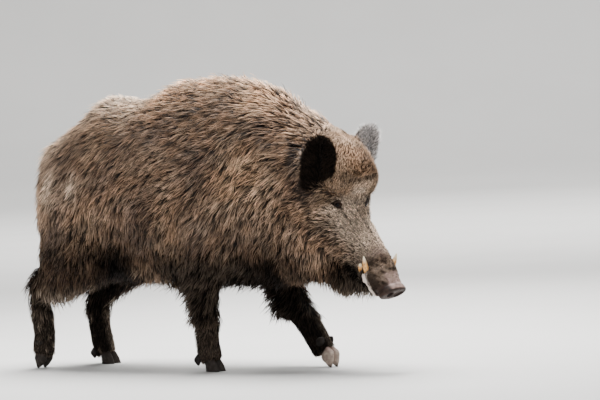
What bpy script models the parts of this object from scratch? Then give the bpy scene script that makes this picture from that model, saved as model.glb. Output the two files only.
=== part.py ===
"""A big male wild boar in winter coat, life size, walking slowly with its head held low.

The solids are the outline of the animal out to the tips of its coat. The flesh is modelled as
overlapping lofts, fused by a voxel remesh, and then divided by thin cuts into head, neck, trunk
and legs. Metres, +X towards the head, +Y towards the animal's left, +Z up, feet on Z = 0.
"""
import bpy
import bmesh
from math import cos, sin, radians, pi
from mathutils import Matrix, Vector

# Driving dimensions
GAP = 0.0003                 # clearance between solids that touch
VOXEL = 0.008                # grain of the remesh that fuses the lofts
HUMP_HEIGHT = 0.912          # top of the mane over the shoulders
BELLY_HEIGHT = 0.262         # hanging fringe of the belly
TRUNK_HALF_WIDTH = 0.216     # half the body's width over the ribs
FORE_TRACK = 0.100           # sideways distance of a forefoot from the middle plane
HIND_TRACK = 0.090           # the same for a hind foot
CLAW_LENGTH = 0.054
CLAW_WIDTH = 0.027
CLAW_HEIGHT = 0.040
DEWCLAW_BACK = 0.073         # from toe tip back to the tip of a dewclaw, along the sole
DEWCLAW_UP = 0.016           # and up from the sole
DEWCLAW_SIZE = 0.58          # as a share of a claw
DEWCLAW_DROOP = 48           # degrees it points down more than the claws do
CLAW_SPREAD = 0.0165         # from the middle of the foot to the middle of a claw
DEWCLAW_SPREAD = 0.025
TOE_FLAT = 0.002             # worn off the tip of a claw that points down, so that it stands flat
EYEBALL_RADIUS = 0.0115
EYE_PLACE = (0.318, 0.049, 0.055)   # behind the nose disc, above the head's axis, sideways
BODY_TRIANGLES = 2285        # triangles kept in the fused flesh
HEAD_CARE = 0.00003          # how strongly the thinning of the mesh spares the head and feet
RELAX_STEPS = 14             # smoothing passes over the fused flesh

# Corners of the rings each piece is lofted from
TRUNK_SIDES = 32
HEAD_SIDES = 28
LEG_SIDES = 24
NOSE_SIDES = 22
EAR_SIDES = 14
TAIL_SIDES = 10
HORN_SIDES = 10

# The head: the middle of the nose disc, and how far the head turns right and points down
NOSE = Vector((0.733, -0.060, 0.235))
HEAD_TURN = radians(-8)
HEAD_PITCH = radians(49)
DISC_TILT = radians(14)      # how much further down the nose disc faces than the head does
DISC_SET = (0.006, -0.007)   # how far behind and above that middle the tilted disc really sits

# Trunk stations: x, top, bottom and half width as shares of the driving sizes above,
# height of the widest place (m), and roundness of the upper half (2 is an ellipse)
TRUNK = [
    (-0.660, 0.760, 1.60, 0.20, 0.52, 2.0),
    (-0.640, 0.782, 1.35, 0.48, 0.50, 2.0),
    (-0.590, 0.804, 1.15, 0.74, 0.50, 2.0),
    (-0.500, 0.856, 1.05, 0.88, 0.50, 2.0),
    (-0.430, 0.910, 1.03, 0.93, 0.51, 1.9),
    (-0.380, 0.934, 1.03, 0.95, 0.52, 1.9),
    (-0.290, 0.923, 1.03, 0.98, 0.52, 1.9),
    (-0.210, 0.926, 1.03, 1.00, 0.52, 1.9),
    (-0.110, 0.972, 1.04, 1.00, 0.53, 1.8),
    (-0.010, 0.995, 1.00, 1.00, 0.54, 1.7),
    (0.080, 1.000, 0.97, 0.99, 0.55, 1.7),
    (0.170, 0.986, 0.96, 0.96, 0.55, 1.7),
    (0.250, 0.960, 0.98, 0.90, 0.54, 1.8),
    (0.320, 0.921, 1.02, 0.83, 0.53, 1.9),
    (0.390, 0.865, 1.05, 0.76, 0.52, 1.9),
    (0.460, 0.828, 1.08, 0.68, 0.50, 2.0),
    (0.520, 0.790, 1.20, 0.52, 0.50, 2.0),
    (0.560, 0.720, 1.50, 0.30, 0.49, 2.0),
]

# Head stations: distance behind the nose disc, half width, top and bottom above the head's axis,
# roundness (2 is an ellipse, more is squarer)
HEAD = [
    (0.000, 0.040, 0.030, -0.044, 2.2),
    (0.030, 0.042, 0.034, -0.044, 2.2),
    (0.070, 0.045, 0.044, -0.045, 2.2),
    (0.110, 0.051, 0.051, -0.048, 2.2),
    (0.160, 0.056, 0.054, -0.060, 2.2),
    (0.215, 0.064, 0.057, -0.075, 2.2),
    (0.265, 0.071, 0.056, -0.095, 2.3),
    (0.305, 0.077, 0.062, -0.110, 2.3),
    (0.319, 0.084, 0.092, -0.118, 2.3),
    (0.330, 0.094, 0.162, -0.126, 2.3),
    (0.352, 0.105, 0.188, -0.138, 2.2),
    (0.402, 0.118, 0.194, -0.150, 2.1),
    (0.455, 0.130, 0.187, -0.170, 2.0),
    (0.515, 0.130, 0.158, -0.150, 2.0),
]

# The nose disc, in the same terms along its own tilted axis: a flat face, a rolled rim and the
# neck behind it
NOSE_DISC = [
    (0.0000, 0.038, 0.029, -0.031, 2.2),
    (0.0025, 0.043, 0.035, -0.037, 2.2),
    (0.0085, 0.045, 0.037, -0.039, 2.2),
    (0.0150, 0.043, 0.036, -0.037, 2.2),
    (0.0220, 0.039, 0.035, -0.034, 2.2),
]

# Lower jaw with its beard, in the same terms
JAW = [
    (0.026, 0.016, -0.034, -0.050, 2.0),
    (0.044, 0.024, -0.030, -0.060, 2.0),
    (0.080, 0.034, -0.020, -0.083, 2.0),
    (0.125, 0.048, -0.020, -0.146, 2.1),
    (0.170, 0.066, -0.020, -0.178, 2.1),
    (0.220, 0.084, -0.020, -0.190, 2.1),
    (0.290, 0.098, -0.020, -0.205, 2.0),
    (0.360, 0.108, 0.000, -0.215, 2.0),
]

# Each ear's root and tip (behind the nose disc, above the head's axis, sideways), and which way it
# opens (forward, outward, up): the right one is turned outwards, the left one forwards
EAR_HALF_WIDTH = 0.057
EARS = {
    "ear_right": {"side": -1, "root": (0.392, 0.036, 0.102), "tip": (0.444, 0.223, 0.152),
                  "opening": (0.50, 0.85, 0.20)},
    "ear_left": {"side": 1, "root": (0.425, 0.060, 0.094), "tip": (0.508, 0.186, 0.122),
                 "opening": (0.90, -0.05, 0.50)},
}

# Half depth (front to back) and half width of a leg at its joints, coat included
FORE_GIRTH = [(0.125, 0.070), (0.092, 0.062), (0.064, 0.050),
              (0.044, 0.039), (0.040, 0.035), (0.041, 0.037)]
HIND_GIRTH = [(0.150, 0.085), (0.112, 0.080), (0.078, 0.056),
              (0.046, 0.040), (0.038, 0.034), (0.041, 0.036)]

# Each leg's joints from hip or shoulder to coronet (x, sideways, height), and its foot:
# where the toe tips stand, and how steeply the foot points down
LEGS = {
    "foreleg_right": {
        "side": -1, "girth": FORE_GIRTH,
        "joints": [(0.120, 0.130, 0.500), (0.055, 0.126, 0.350), (0.036, 0.116, 0.245),
                   (0.038, 0.108, 0.155), (0.034, 0.101, 0.080), (0.048, FORE_TRACK, 0.030)],
        "toe": 0.088, "pitch": 0, "track": FORE_TRACK},
    "foreleg_left": {
        "side": 1, "girth": FORE_GIRTH,
        "joints": [(0.140, 0.130, 0.500), (0.130, 0.126, 0.360), (0.178, 0.118, 0.255),
                   (0.254, 0.110, 0.155), (0.304, 0.102, 0.090), (0.332, FORE_TRACK, 0.046)],
        "toe": 0.368, "pitch": 42, "track": FORE_TRACK},
    "hindleg_right": {
        "side": -1, "girth": HIND_GIRTH,
        "joints": [(-0.450, 0.110, 0.560), (-0.440, 0.125, 0.380), (-0.560, 0.112, 0.298),
                   (-0.652, 0.098, 0.262), (-0.646, 0.091, 0.120), (-0.656, HIND_TRACK, 0.044)],
        "toe": -0.666, "pitch": 78, "track": HIND_TRACK},
    "hindleg_left": {
        "side": 1, "girth": HIND_GIRTH,
        "joints": [(-0.450, 0.110, 0.560), (-0.400, 0.125, 0.400), (-0.490, 0.112, 0.300),
                   (-0.574, 0.098, 0.215), (-0.566, 0.091, 0.095), (-0.546, HIND_TRACK, 0.030)],
        "toe": -0.500, "pitch": 0, "track": HIND_TRACK},
}

# Masses on both sides of the trunk: middle (x, sideways, height) and half lengths
SHOULDER = ((0.110, 0.125, 0.500), (0.150, 0.092, 0.200))
HAM = ((-0.447, 0.100, 0.455), (0.170, 0.104, 0.200))
STIFLE_HAIR = ((-0.538, 0.108, 0.375), (0.086, 0.070, 0.105))
JOWL = ((0.400, 0.070, 0.425), (0.150, 0.088, 0.158))
# and on one side or in the middle
ELBOW_HAIR = ((0.180, 0.115, 0.215), (0.062, 0.030, 0.075))
SHEATH = ((-0.130, 0.0, 0.296), (0.090, 0.040, 0.045))

# Masses on both sides of the head: middle (behind the disc, above the axis, sideways), half lengths
MUZZLE_SIDE = ((0.258, -0.030, 0.036), (0.108, 0.052, 0.070))
CHEEK = ((0.352, -0.085, 0.050), (0.150, 0.074, 0.112))
TUSK_LIP = ((0.098, -0.010, 0.039), (0.034, 0.026, 0.037))

# The tail from root to tassel: x, sideways, height, radius
TAIL = [
    (-0.590, 0.000, 0.674, 0.044),
    (-0.650, 0.002, 0.676, 0.038),
    (-0.682, 0.006, 0.632, 0.026),
    (-0.682, 0.010, 0.540, 0.019),
    (-0.676, 0.014, 0.460, 0.024),
    (-0.668, 0.018, 0.395, 0.021),
    (-0.660, 0.020, 0.350, 0.004),
]

# Tusks from root to tip: behind the nose disc, above the head's axis, sideways, radius
LOWER_TUSK = [
    (0.086, -0.016, 0.038, 0.0095),
    (0.094, -0.006, 0.049, 0.0095),
    (0.105, 0.007, 0.058, 0.0088),
    (0.117, 0.021, 0.065, 0.0066),
    (0.128, 0.034, 0.070, 0.0016),
]
UPPER_TUSK = [
    (0.114, -0.026, 0.040, 0.0095),
    (0.117, -0.017, 0.051, 0.0090),
    (0.121, -0.008, 0.059, 0.0072),
    (0.126, 0.001, 0.062, 0.0030),
]

# Cuts between nodes. Each leg's block: height of its top, its front and back,
# and its inner face's distance from the middle plane on the floor and at the top
LEG_CUTS = {
    "foreleg_right": (0.40, 0.26, -0.12, 0.020, 0.110),
    "foreleg_left": (0.40, 0.46, -0.04, 0.020, 0.110),
    "hindleg_right": (0.44, -0.26, -0.80, 0.012, 0.094),
    "hindleg_left": (0.44, -0.22, -0.80, 0.012, 0.080),
}
KNEE = 3                     # the joint a leg is cut at, and how far above it
ABOVE_KNEE = 0.02
# Along the trunk: the node in front of each cut, a point of the cut, and which way is behind it
TRUNK_CUTS = [
    ("head", (0.470, 0, 0.720), (-0.958, 0, 0.287)),
    ("neck", (0.300, 0, 0.860), (-0.990, 0, 0.140)),
    ("forequarters", (-0.060, 0, 0), (-1, 0, 0)),
    ("barrel", (-0.330, 0, 0), (-1, 0, 0)),
]


def clear_scene():
    for item in list(bpy.data.objects):
        bpy.data.objects.remove(item, do_unlink=True)


def material(name, colour, roughness):
    made = bpy.data.materials.new(name)
    made.use_nodes = True
    shader = made.node_tree.nodes["Principled BSDF"]
    shader.inputs["Base Color"].default_value = (*colour, 1.0)
    shader.inputs["Roughness"].default_value = roughness
    shader.inputs["Metallic"].default_value = 0.0
    return made


def head_axes():
    """Forward, left and up of the head."""
    level = cos(HEAD_PITCH)
    forward = Vector((level * cos(HEAD_TURN), level * sin(HEAD_TURN), -sin(HEAD_PITCH)))
    left = Vector((-sin(HEAD_TURN), cos(HEAD_TURN), 0.0))
    return forward, left, forward.cross(left)


def head_point(behind, up, left):
    forward, leftward, upward = head_axes()
    return NOSE - forward * behind + upward * up + leftward * left


def disc_frame():
    """Middle, forward, left and up of the nose disc, which faces further down than the head."""
    forward, left, up = head_axes()
    facing = forward * cos(DISC_TILT) - up * sin(DISC_TILT)
    return head_point(*DISC_SET, 0.0), facing, left, facing.cross(left)


def power(value, exponent):
    return abs(value) ** exponent * (1 if value > 0 else -1)


def ring(centre, across, along, half_width, top, bottom, roundness, count):
    """Closed superellipse: half_width each way across, from bottom to top along."""
    points = []
    for step in range(count):
        turn = 2 * pi * step / count
        reach = top if sin(turn) > 0 else bottom
        sideways = half_width * power(cos(turn), 2 / roundness)
        lengthways = reach * power(sin(turn), 2 / roundness)
        points.append(centre + across * sideways + along * lengthways)
    return points


def spline(stations, position):
    """Catmull-Rom value of a list of equal-length tuples at a fractional index."""
    last = len(stations) - 1
    index = min(int(position), last - 1)
    share = position - index
    before, here = stations[max(index - 1, 0)], stations[index]
    after, beyond = stations[index + 1], stations[min(index + 2, last)]
    values = []
    for a, b, c, d in zip(before, here, after, beyond):
        bend = 2 * a - 5 * b + 4 * c - d
        twist = 3 * b - a - 3 * c + d
        values.append(0.5 * (2 * b + (c - a) * share + bend * share ** 2 + twist * share ** 3))
    return values


def smooth_stations(stations, per_gap=2):
    count = (len(stations) - 1) * per_gap
    return [spline(stations, step / per_gap) for step in range(count + 1)]


def direction(line, index):
    """Which way a line of stations runs at one of them."""
    ahead = Vector(line[min(index + 1, len(line) - 1)][:3])
    behind = Vector(line[max(index - 1, 0)][:3])
    return (ahead - behind).normalized()


def loft(shape, rings):
    """Add a closed skin through equal rings to a bmesh."""
    loops = [[shape.verts.new(point) for point in points] for points in rings]
    count = len(loops[0])
    for first, second in zip(loops, loops[1:]):
        for step in range(count):
            following = (step + 1) % count
            shape.faces.new((first[step], first[following], second[following], second[step]))
    shape.faces.new(list(reversed(loops[0])))
    shape.faces.new(loops[-1])


def ball(shape, centre, radii, turn=None):
    """Add an ellipsoid to a bmesh."""
    frame = Matrix.Translation(centre)
    if turn is not None:
        frame = frame @ turn
    frame = frame @ Matrix.Diagonal((*radii, 1.0))
    bmesh.ops.create_uvsphere(shape, u_segments=20, v_segments=12, radius=1.0, matrix=frame)


def mesh_object(name, shape, look):
    bmesh.ops.recalc_face_normals(shape, faces=shape.faces)
    mesh = bpy.data.meshes.new(name)
    shape.to_mesh(mesh)
    shape.free()
    mesh.materials.append(look)
    item = bpy.data.objects.new(name, mesh)
    bpy.context.collection.objects.link(item)
    return item


def settle(item):
    """Apply every modifier of an object."""
    bpy.context.view_layer.update()
    evaluated = item.evaluated_get(bpy.context.evaluated_depsgraph_get())
    mesh = bpy.data.meshes.new_from_object(evaluated)
    item.modifiers.clear()
    old = item.data
    item.data = mesh
    bpy.data.meshes.remove(old)


# Flesh

def add_trunk(shape):
    rings = []
    for x, top, bottom, width, widest, roundness in smooth_stations(TRUNK):
        centre = Vector((x, 0.0, widest))
        above = top * HUMP_HEIGHT - widest
        below = widest - bottom * BELLY_HEIGHT
        rings.append(ring(centre, Vector((0, 1, 0)), Vector((0, 0, 1)), width * TRUNK_HALF_WIDTH,
                          above, below, roundness, TRUNK_SIDES))
    loft(shape, rings)


def add_head_loft(shape, stations):
    left, up = head_axes()[1:]
    rings = []
    for behind, width, top, bottom, roundness in smooth_stations(stations):
        middle = (top + bottom) / 2
        centre = head_point(behind, middle, 0.0)
        reach = top - middle
        rings.append(ring(centre, left, up, width, reach, reach, roundness, HEAD_SIDES))
    loft(shape, rings)


def add_head(shape):
    add_head_loft(shape, HEAD)
    add_head_loft(shape, JAW)
    forward, left, up = head_axes()
    lean = Matrix((forward, left, up)).transposed().to_4x4()
    for (behind, above, sideways), half_lengths in (MUZZLE_SIDE, CHEEK, TUSK_LIP):
        for side in (-1, 1):
            ball(shape, head_point(behind, above, sideways * side), half_lengths, lean)


def make_nose(look):
    """The disc at the end of the snout, a solid of its own with a crisp rim."""
    middle, facing, left, up = disc_frame()
    shape = bmesh.new()
    rings = []
    for behind, width, top, bottom, roundness in NOSE_DISC:
        centre = middle - facing * behind
        rings.append(ring(centre, left, up, width, top, -bottom, roundness, NOSE_SIDES))
    loft(shape, rings)
    return mesh_object("nose", shape, look)


def leg_rings(leg):
    rings = []
    joints = [(x, y * leg["side"], z, deep, wide)
              for (x, y, z), (deep, wide) in zip(leg["joints"], leg["girth"])]
    line = smooth_stations(joints, 4)
    across = Vector((0, 1, 0))
    for index, (x, y, z, deep, wide) in enumerate(line):
        front = direction(line, index).cross(across).normalized()
        rings.append(ring(Vector((x, y, z)), front, across, deep, wide, wide, 2.2, LEG_SIDES))
    return rings


def add_muscles(shape):
    """Shoulders, hams and jowls, the hair behind the left elbow, and the sheath under the belly."""
    for (x, sideways, height), half_lengths in (SHOULDER, HAM, STIFLE_HAIR, JOWL):
        for side in (-1, 1):
            ball(shape, (x, sideways * side, height), half_lengths)
    for middle, half_lengths in (ELBOW_HAIR, SHEATH):
        ball(shape, middle, half_lengths)


def fused_flesh(look):
    """Everything furred but the ears and the tail, as one closed skin with a denser head."""
    shape = bmesh.new()
    add_trunk(shape)
    add_head(shape)
    add_muscles(shape)
    for leg in LEGS.values():
        loft(shape, leg_rings(leg))
    body = mesh_object("flesh", shape, look)
    fuse = body.modifiers.new("fuse", "REMESH")
    fuse.mode = "VOXEL"
    fuse.voxel_size = VOXEL
    settle(body)
    relax = body.modifiers.new("relax", "SMOOTH")
    relax.factor = 0.5
    relax.iterations = RELAX_STEPS
    settle(body)
    plain = body.vertex_groups.new(name="plain")
    forward = head_axes()[0]
    for vertex in body.data.vertices:
        behind = (NOSE - vertex.co).dot(forward)
        head = min(max((0.42 - behind) / 0.10, 0.0), 1.0) if vertex.co.x > 0.40 else 0.0
        foot = min(max((0.10 - vertex.co.z) / 0.03, 0.0), 1.0) * 0.5
        plain.add([vertex.index], 1.0 - 0.9 * max(head, foot), "REPLACE")
    thin = body.modifiers.new("thin", "DECIMATE")
    thin.ratio = BODY_TRIANGLES / (2.0 * len(body.data.polygons))
    thin.vertex_group = "plain"
    thin.vertex_group_factor = HEAD_CARE
    thin.use_collapse_triangulate = True
    settle(body)
    return body


def make_ear(name, ear, look):
    """A cupped shell, wide and rounded, on its own root, tip and direction of opening."""
    forward, left, up = head_axes()
    side = ear["side"]
    root = head_point(*ear["root"][:2], ear["root"][2] * side)
    tip = head_point(*ear["tip"][:2], ear["tip"][2] * side)
    rise = (tip - root).normalized()
    opening = forward * ear["opening"][0] + left * ear["opening"][1] * side + up * ear["opening"][2]
    opening = (opening - rise * opening.dot(rise)).normalized()
    across = rise.cross(opening)
    length = (tip - root).length
    shape = bmesh.new()
    rings = []
    count = 9
    for step in range(count + 1):
        share = sin(pi / 2 * step / count)
        half_width = EAR_HALF_WIDTH * sin(pi * (0.10 + 0.896 * share ** 1.25)) ** 0.42
        half_thick = 0.018 * (1 - share) ** 0.5 + 0.002
        cup = 0.012 * sin(pi * share)
        centre = root + rise * length * share
        points = []
        for corner in range(EAR_SIDES):
            turn = 2 * pi * corner / EAR_SIDES
            depth = half_thick * sin(turn) - cup * (1 - cos(turn) ** 2)
            points.append(centre + across * half_width * cos(turn) + opening * depth)
        rings.append(points)
    loft(shape, rings)
    return mesh_object(name, shape, look)


def make_tail(look):
    """Hangs against the rump, with a flattened tassel."""
    shape = bmesh.new()
    line = smooth_stations(TAIL)
    across = Vector((0, 1, 0))
    rings = []
    for index, (x, y, z, radius) in enumerate(line):
        front = direction(line, index).cross(across).normalized()
        rings.append(ring(Vector((x, y, z)), front, across, radius * 0.8, radius, radius, 2.0,
                          TAIL_SIDES))
    loft(shape, rings)
    return mesh_object("tail", shape, look)


# Horny parts and eyes

def make_tusk(name, stations, side, look):
    """A curved tusk along stations given in the head's frame."""
    shape = bmesh.new()
    line = [(*head_point(behind, up, left * side), radius)
            for behind, up, left, radius in smooth_stations(stations)]
    forward = head_axes()[0]
    rings = []
    for index, (x, y, z, radius) in enumerate(line):
        run = direction(line, index)
        across = run.cross(forward).normalized()
        rings.append(ring(Vector((x, y, z)), across, run.cross(across), radius, radius, radius, 2.0,
                          HORN_SIDES))
    loft(shape, rings)
    return mesh_object(name, shape, look)


def make_tusks(look):
    tusks = []
    for side, word in ((-1, "right"), (1, "left")):
        tusks.append(make_tusk("tusk_lower_" + word, LOWER_TUSK, side, look))
        tusks.append(make_tusk("tusk_upper_" + word, UPPER_TUSK, side, look))
    return tusks


def make_eye(side, look):
    shape = bmesh.new()
    centre = head_point(*EYE_PLACE[:2], EYE_PLACE[2] * side)
    bmesh.ops.create_uvsphere(shape, u_segments=14, v_segments=8, radius=EYEBALL_RADIUS,
                              matrix=Matrix.Translation(centre))
    return mesh_object("eye_left" if side > 0 else "eye_right", shape, look)


def claw_rings(length, width, height):
    """From sole to coronet, toe tip at the origin, sole on Z = 0."""
    rings = []
    for share, shrink, lean in ((0.0, 1.0, 0.0), (0.45, 0.98, 0.16), (1.0, 0.80, 0.46)):
        middle = Vector((-length * (0.5 + 0.5 * lean), 0.0, height * share))
        points = []
        for step in range(HORN_SIDES):
            turn = 2 * pi * step / HORN_SIDES
            ahead = length * 0.5 * shrink * (1 - lean * 0.3) * cos(turn)
            taper = 1 - 0.45 * max(cos(turn), 0.0) ** 2
            sideways = width * 0.5 * shrink * taper * power(sin(turn), 0.8)
            points.append(middle + Vector((ahead, sideways, 0.0)))
        rings.append(points)
    return rings


def make_claw(name, leg, offset, toe, lift, size, droop, look):
    """One claw of a foot: built flat, pitched about its toe tip, stood on the floor."""
    shape = bmesh.new()
    loft(shape, claw_rings(CLAW_LENGTH * size, CLAW_WIDTH * size, CLAW_HEIGHT * size))
    pitch = Matrix.Rotation(radians(leg["pitch"] + droop), 4, "Y")
    spread = Matrix.Rotation(radians(5) * (1 if offset > 0 else -1), 4, "Z")
    place = Matrix.Translation((toe, leg["side"] * leg["track"] + offset, lift))
    bmesh.ops.transform(shape, matrix=place @ pitch @ spread, verts=shape.verts)
    bmesh.ops.bisect_plane(shape, geom=shape.verts[:] + shape.edges[:] + shape.faces[:], dist=1e-6,
                           plane_co=(0, 0, 0), plane_no=(0, 0, -1), clear_outer=True)
    bmesh.ops.holes_fill(shape, edges=[edge for edge in shape.edges if edge.is_boundary])
    return mesh_object(name, shape, look)


def make_claws(look):
    claws = []
    for word, leg in LEGS.items():
        pitch = radians(leg["pitch"])
        for inner, label in ((-1, "inner"), (1, "outer")):
            offset = inner * leg["side"]
            lift = -TOE_FLAT if leg["pitch"] else 0.0
            claws.append(make_claw("claw_%s_%s" % (word, label), leg, offset * CLAW_SPREAD,
                                   leg["toe"], lift, 1.0, 0, look))
            back = DEWCLAW_BACK * cos(pitch) - DEWCLAW_UP * sin(pitch)
            up = DEWCLAW_BACK * sin(pitch) + DEWCLAW_UP * cos(pitch)
            claws.append(make_claw("dewclaw_%s_%s" % (word, label), leg, offset * DEWCLAW_SPREAD,
                                   leg["toe"] - back, up, DEWCLAW_SIZE, DEWCLAW_DROOP, look))
    return claws


# Dividing the flesh

def grown_copy(item, distance):
    copy = bpy.data.objects.new(item.name + "_cutter", item.data.copy())
    bpy.context.collection.objects.link(copy)
    swell = copy.modifiers.new("swell", "DISPLACE")
    swell.strength = distance
    swell.mid_level = 0.0
    swell.direction = "NORMAL"
    settle(copy)
    return copy


def combine(item, cutter, operation):
    work = item.modifiers.new("cut", "BOOLEAN")
    work.operation = operation
    work.solver = "EXACT"
    work.object = cutter
    settle(item)


def discard(item):
    bpy.data.objects.remove(item, do_unlink=True)


def carve(item, tools):
    """Cut each tool, grown by the gap, out of an item."""
    for tool in tools:
        cutter = grown_copy(tool, GAP)
        combine(item, cutter, "DIFFERENCE")
        discard(cutter)


def region(planes, grow):
    """Convex block inside all the planes (point, outward normal), each moved out by grow."""
    shape = bmesh.new()
    bmesh.ops.create_cube(shape, size=4.0)
    for point, normal in planes:
        outward = Vector(normal).normalized()
        bmesh.ops.bisect_plane(shape, geom=shape.verts[:] + shape.edges[:] + shape.faces[:], dist=1e-6,
                               plane_co=Vector(point) + outward * grow, plane_no=outward, clear_outer=True)
        bmesh.ops.holes_fill(shape, edges=[edge for edge in shape.edges if edge.is_boundary])
    bmesh.ops.triangulate(shape, faces=shape.faces)
    return mesh_object("region", shape, bpy.data.materials[0])


def split_off(body, name, planes):
    """Take the block inside the planes off the body as a node of its own."""
    piece = bpy.data.objects.new(name, body.data.copy())
    bpy.context.collection.objects.link(piece)
    inner = region(planes, 0.0)
    combine(piece, inner, "INTERSECT")
    discard(inner)
    outer = region(planes, GAP)
    combine(body, outer, "DIFFERENCE")
    discard(outer)
    return piece


def leg_block(leg, elbow_height, front, back, inner_at_floor, inner_at_top):
    """Block round one leg: its inner face leans outwards towards the top."""
    side = leg["side"]
    lean = (inner_at_top - inner_at_floor) / elbow_height
    return [((0, 0, elbow_height), (0, 0, 1)),
            ((front, 0, 0), (1, 0, 0)),
            ((back, 0, 0), (-1, 0, 0)),
            ((0, side * inner_at_floor, 0), (0, -side, lean))]


def divide(body):
    """Legs first, then the head, the neck and the lengths of the trunk."""
    for word, limits in LEG_CUTS.items():
        leg = LEGS[word]
        whole = split_off(body, word + "_upper", leg_block(leg, *limits))
        x, sideways, height = leg["joints"][KNEE]
        split_off(whole, word + "_lower", [((x, sideways, height + ABOVE_KNEE), (0, 0, 1))])
    for name, point, backward in TRUNK_CUTS:
        split_off(body, name, [(point, backward)])
    body.name = "hindquarters"
    middle, facing = disc_frame()[:2]
    behind_disc = middle - facing * NOSE_DISC[-1][0]
    discard(split_off(bpy.data.objects["head"], "snout_tip", [(behind_disc, -facing)]))


def recentre(items):
    """Move the model so that its origin is the middle of its footprint, on the floor."""
    corners = [vertex.co for item in items for vertex in item.data.vertices]
    low = [min(corner[axis] for corner in corners) for axis in range(3)]
    high = [max(corner[axis] for corner in corners) for axis in range(3)]
    move = Matrix.Translation((-(low[0] + high[0]) / 2, -(low[1] + high[1]) / 2, -low[2]))
    for item in items:
        item.data.transform(move)


def main():
    clear_scene()
    coat = material("coat", (0.16, 0.12, 0.09), 0.85)
    dark_coat = material("dark_coat", (0.03, 0.025, 0.02), 0.85)
    nose_skin = material("nose_skin", (0.30, 0.20, 0.19), 0.55)
    ivory = material("ivory", (0.75, 0.62, 0.38), 0.35)
    horn = material("horn", (0.22, 0.19, 0.17), 0.5)
    eye = material("eye", (0.02, 0.012, 0.008), 0.08)

    body = fused_flesh(coat)
    make_nose(nose_skin)
    ears = [make_ear(name, ear, dark_coat) for name, ear in EARS.items()]
    tail = make_tail(coat)
    for item in ears + [tail]:
        carve(item, [body])
    hard = [make_eye(side, eye) for side in (-1, 1)] + make_tusks(ivory) + make_claws(horn)
    carve(body, hard)
    divide(body)
    recentre([item for item in bpy.data.objects if item.type == "MESH"])


main()
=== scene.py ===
"""Looks of a big male wild boar in winter coat.

One skin replaces the nodes of flesh and lies inside them by the coat's depth. Closed tufts of hair
stand over it and follow the lie of the coat. Eyes, tusks and claws are pieces of their own.
"""
import math
import bmesh
import bpy
import numpy as np
from bpy.props import FloatProperty, FloatVectorProperty, IntProperty, PointerProperty
from bpy.types import Operator, Panel, PropertyGroup
from mathutils import Matrix, Vector
from mathutils.bvhtree import BVHTree
from mathutils.kdtree import KDTree


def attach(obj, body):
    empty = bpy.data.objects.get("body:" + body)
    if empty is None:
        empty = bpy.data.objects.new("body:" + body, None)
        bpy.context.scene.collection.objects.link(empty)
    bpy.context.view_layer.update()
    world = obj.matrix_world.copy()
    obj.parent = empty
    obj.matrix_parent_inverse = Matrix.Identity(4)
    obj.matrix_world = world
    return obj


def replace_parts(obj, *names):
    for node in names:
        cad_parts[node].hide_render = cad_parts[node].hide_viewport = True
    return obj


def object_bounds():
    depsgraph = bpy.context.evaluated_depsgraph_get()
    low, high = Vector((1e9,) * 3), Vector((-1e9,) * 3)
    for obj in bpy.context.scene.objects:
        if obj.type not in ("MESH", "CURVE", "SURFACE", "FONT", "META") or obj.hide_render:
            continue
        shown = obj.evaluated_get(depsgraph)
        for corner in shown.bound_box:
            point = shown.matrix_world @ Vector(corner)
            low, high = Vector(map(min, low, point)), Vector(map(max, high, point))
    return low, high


bl_info = {
    "name": "Wild Boar",
    "version": (1, 0, 0),
    "blender": (4, 5, 0),
    "location": "3D View > Sidebar > Boar",
    "description": "Skin, coat, eyes, tusks, claws and stage of a wild boar in winter coat",
    "category": "Object",
}

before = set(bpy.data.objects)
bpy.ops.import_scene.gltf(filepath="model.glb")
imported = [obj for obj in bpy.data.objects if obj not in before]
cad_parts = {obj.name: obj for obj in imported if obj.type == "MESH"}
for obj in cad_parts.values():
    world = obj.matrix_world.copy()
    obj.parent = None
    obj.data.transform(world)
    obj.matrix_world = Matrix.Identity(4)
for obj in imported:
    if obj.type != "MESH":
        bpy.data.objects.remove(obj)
CAD_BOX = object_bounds()

TRUNK = ("neck", "forequarters", "barrel", "hindquarters")
UPPER_LEGS = tuple("%sleg_%s_upper" % (pair, side) for pair in ("fore", "hind") for side in ("left", "right"))
LOWER_LEGS = tuple("%sleg_%s_lower" % (pair, side) for pair in ("fore", "hind") for side in ("left", "right"))
EARS = ("ear_left", "ear_right")
FLESH = ("head", "nose", "tail") + TRUNK + EARS + UPPER_LEGS + LOWER_LEGS
SIDES = {"right": -1, "left": 1}

# The head's own axes
TURN = math.radians(-8)
PITCH = math.radians(49)
FORWARD = np.array([math.cos(PITCH) * math.cos(TURN), math.cos(PITCH) * math.sin(TURN), -math.sin(PITCH)])
LEFT = np.array([-math.sin(TURN), math.cos(TURN), 0.0])
UP = np.cross(FORWARD, LEFT)
EYE_PLACE = (0.318, 0.049, 0.055)    # behind the front of the head's axis, above it, sideways
EYE_RADIUS = 0.0115
EYE_REACH = 0.030                    # how far from an eye's middle its lids reach
EYE_OPENING = (0.0112, 0.0068)       # half the length and half the height between the lids
DISC_TILT = math.radians(14)         # how much further down the nose disc faces
DISC_RIM = 0.012                     # how deep behind its face the disc's rim reaches
DISC_SET = (0.006, -0.007)           # its middle, behind and above the front of the head's axis
DISC_FORWARD = FORWARD * math.cos(DISC_TILT) - UP * math.sin(DISC_TILT)
DISC_UP = np.cross(DISC_FORWARD, LEFT)


def read(items, word, width=3, kind=float):
    """One property of all items, as rows of that many numbers."""
    values = np.empty(len(items) * width, dtype=kind)
    items.foreach_get(word, values)
    return values.reshape(-1, width) if width > 1 else values


def mesh_points(mesh):
    return read(mesh.vertices, "co")


def node_points(node):
    return mesh_points(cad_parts[node].data)


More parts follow.
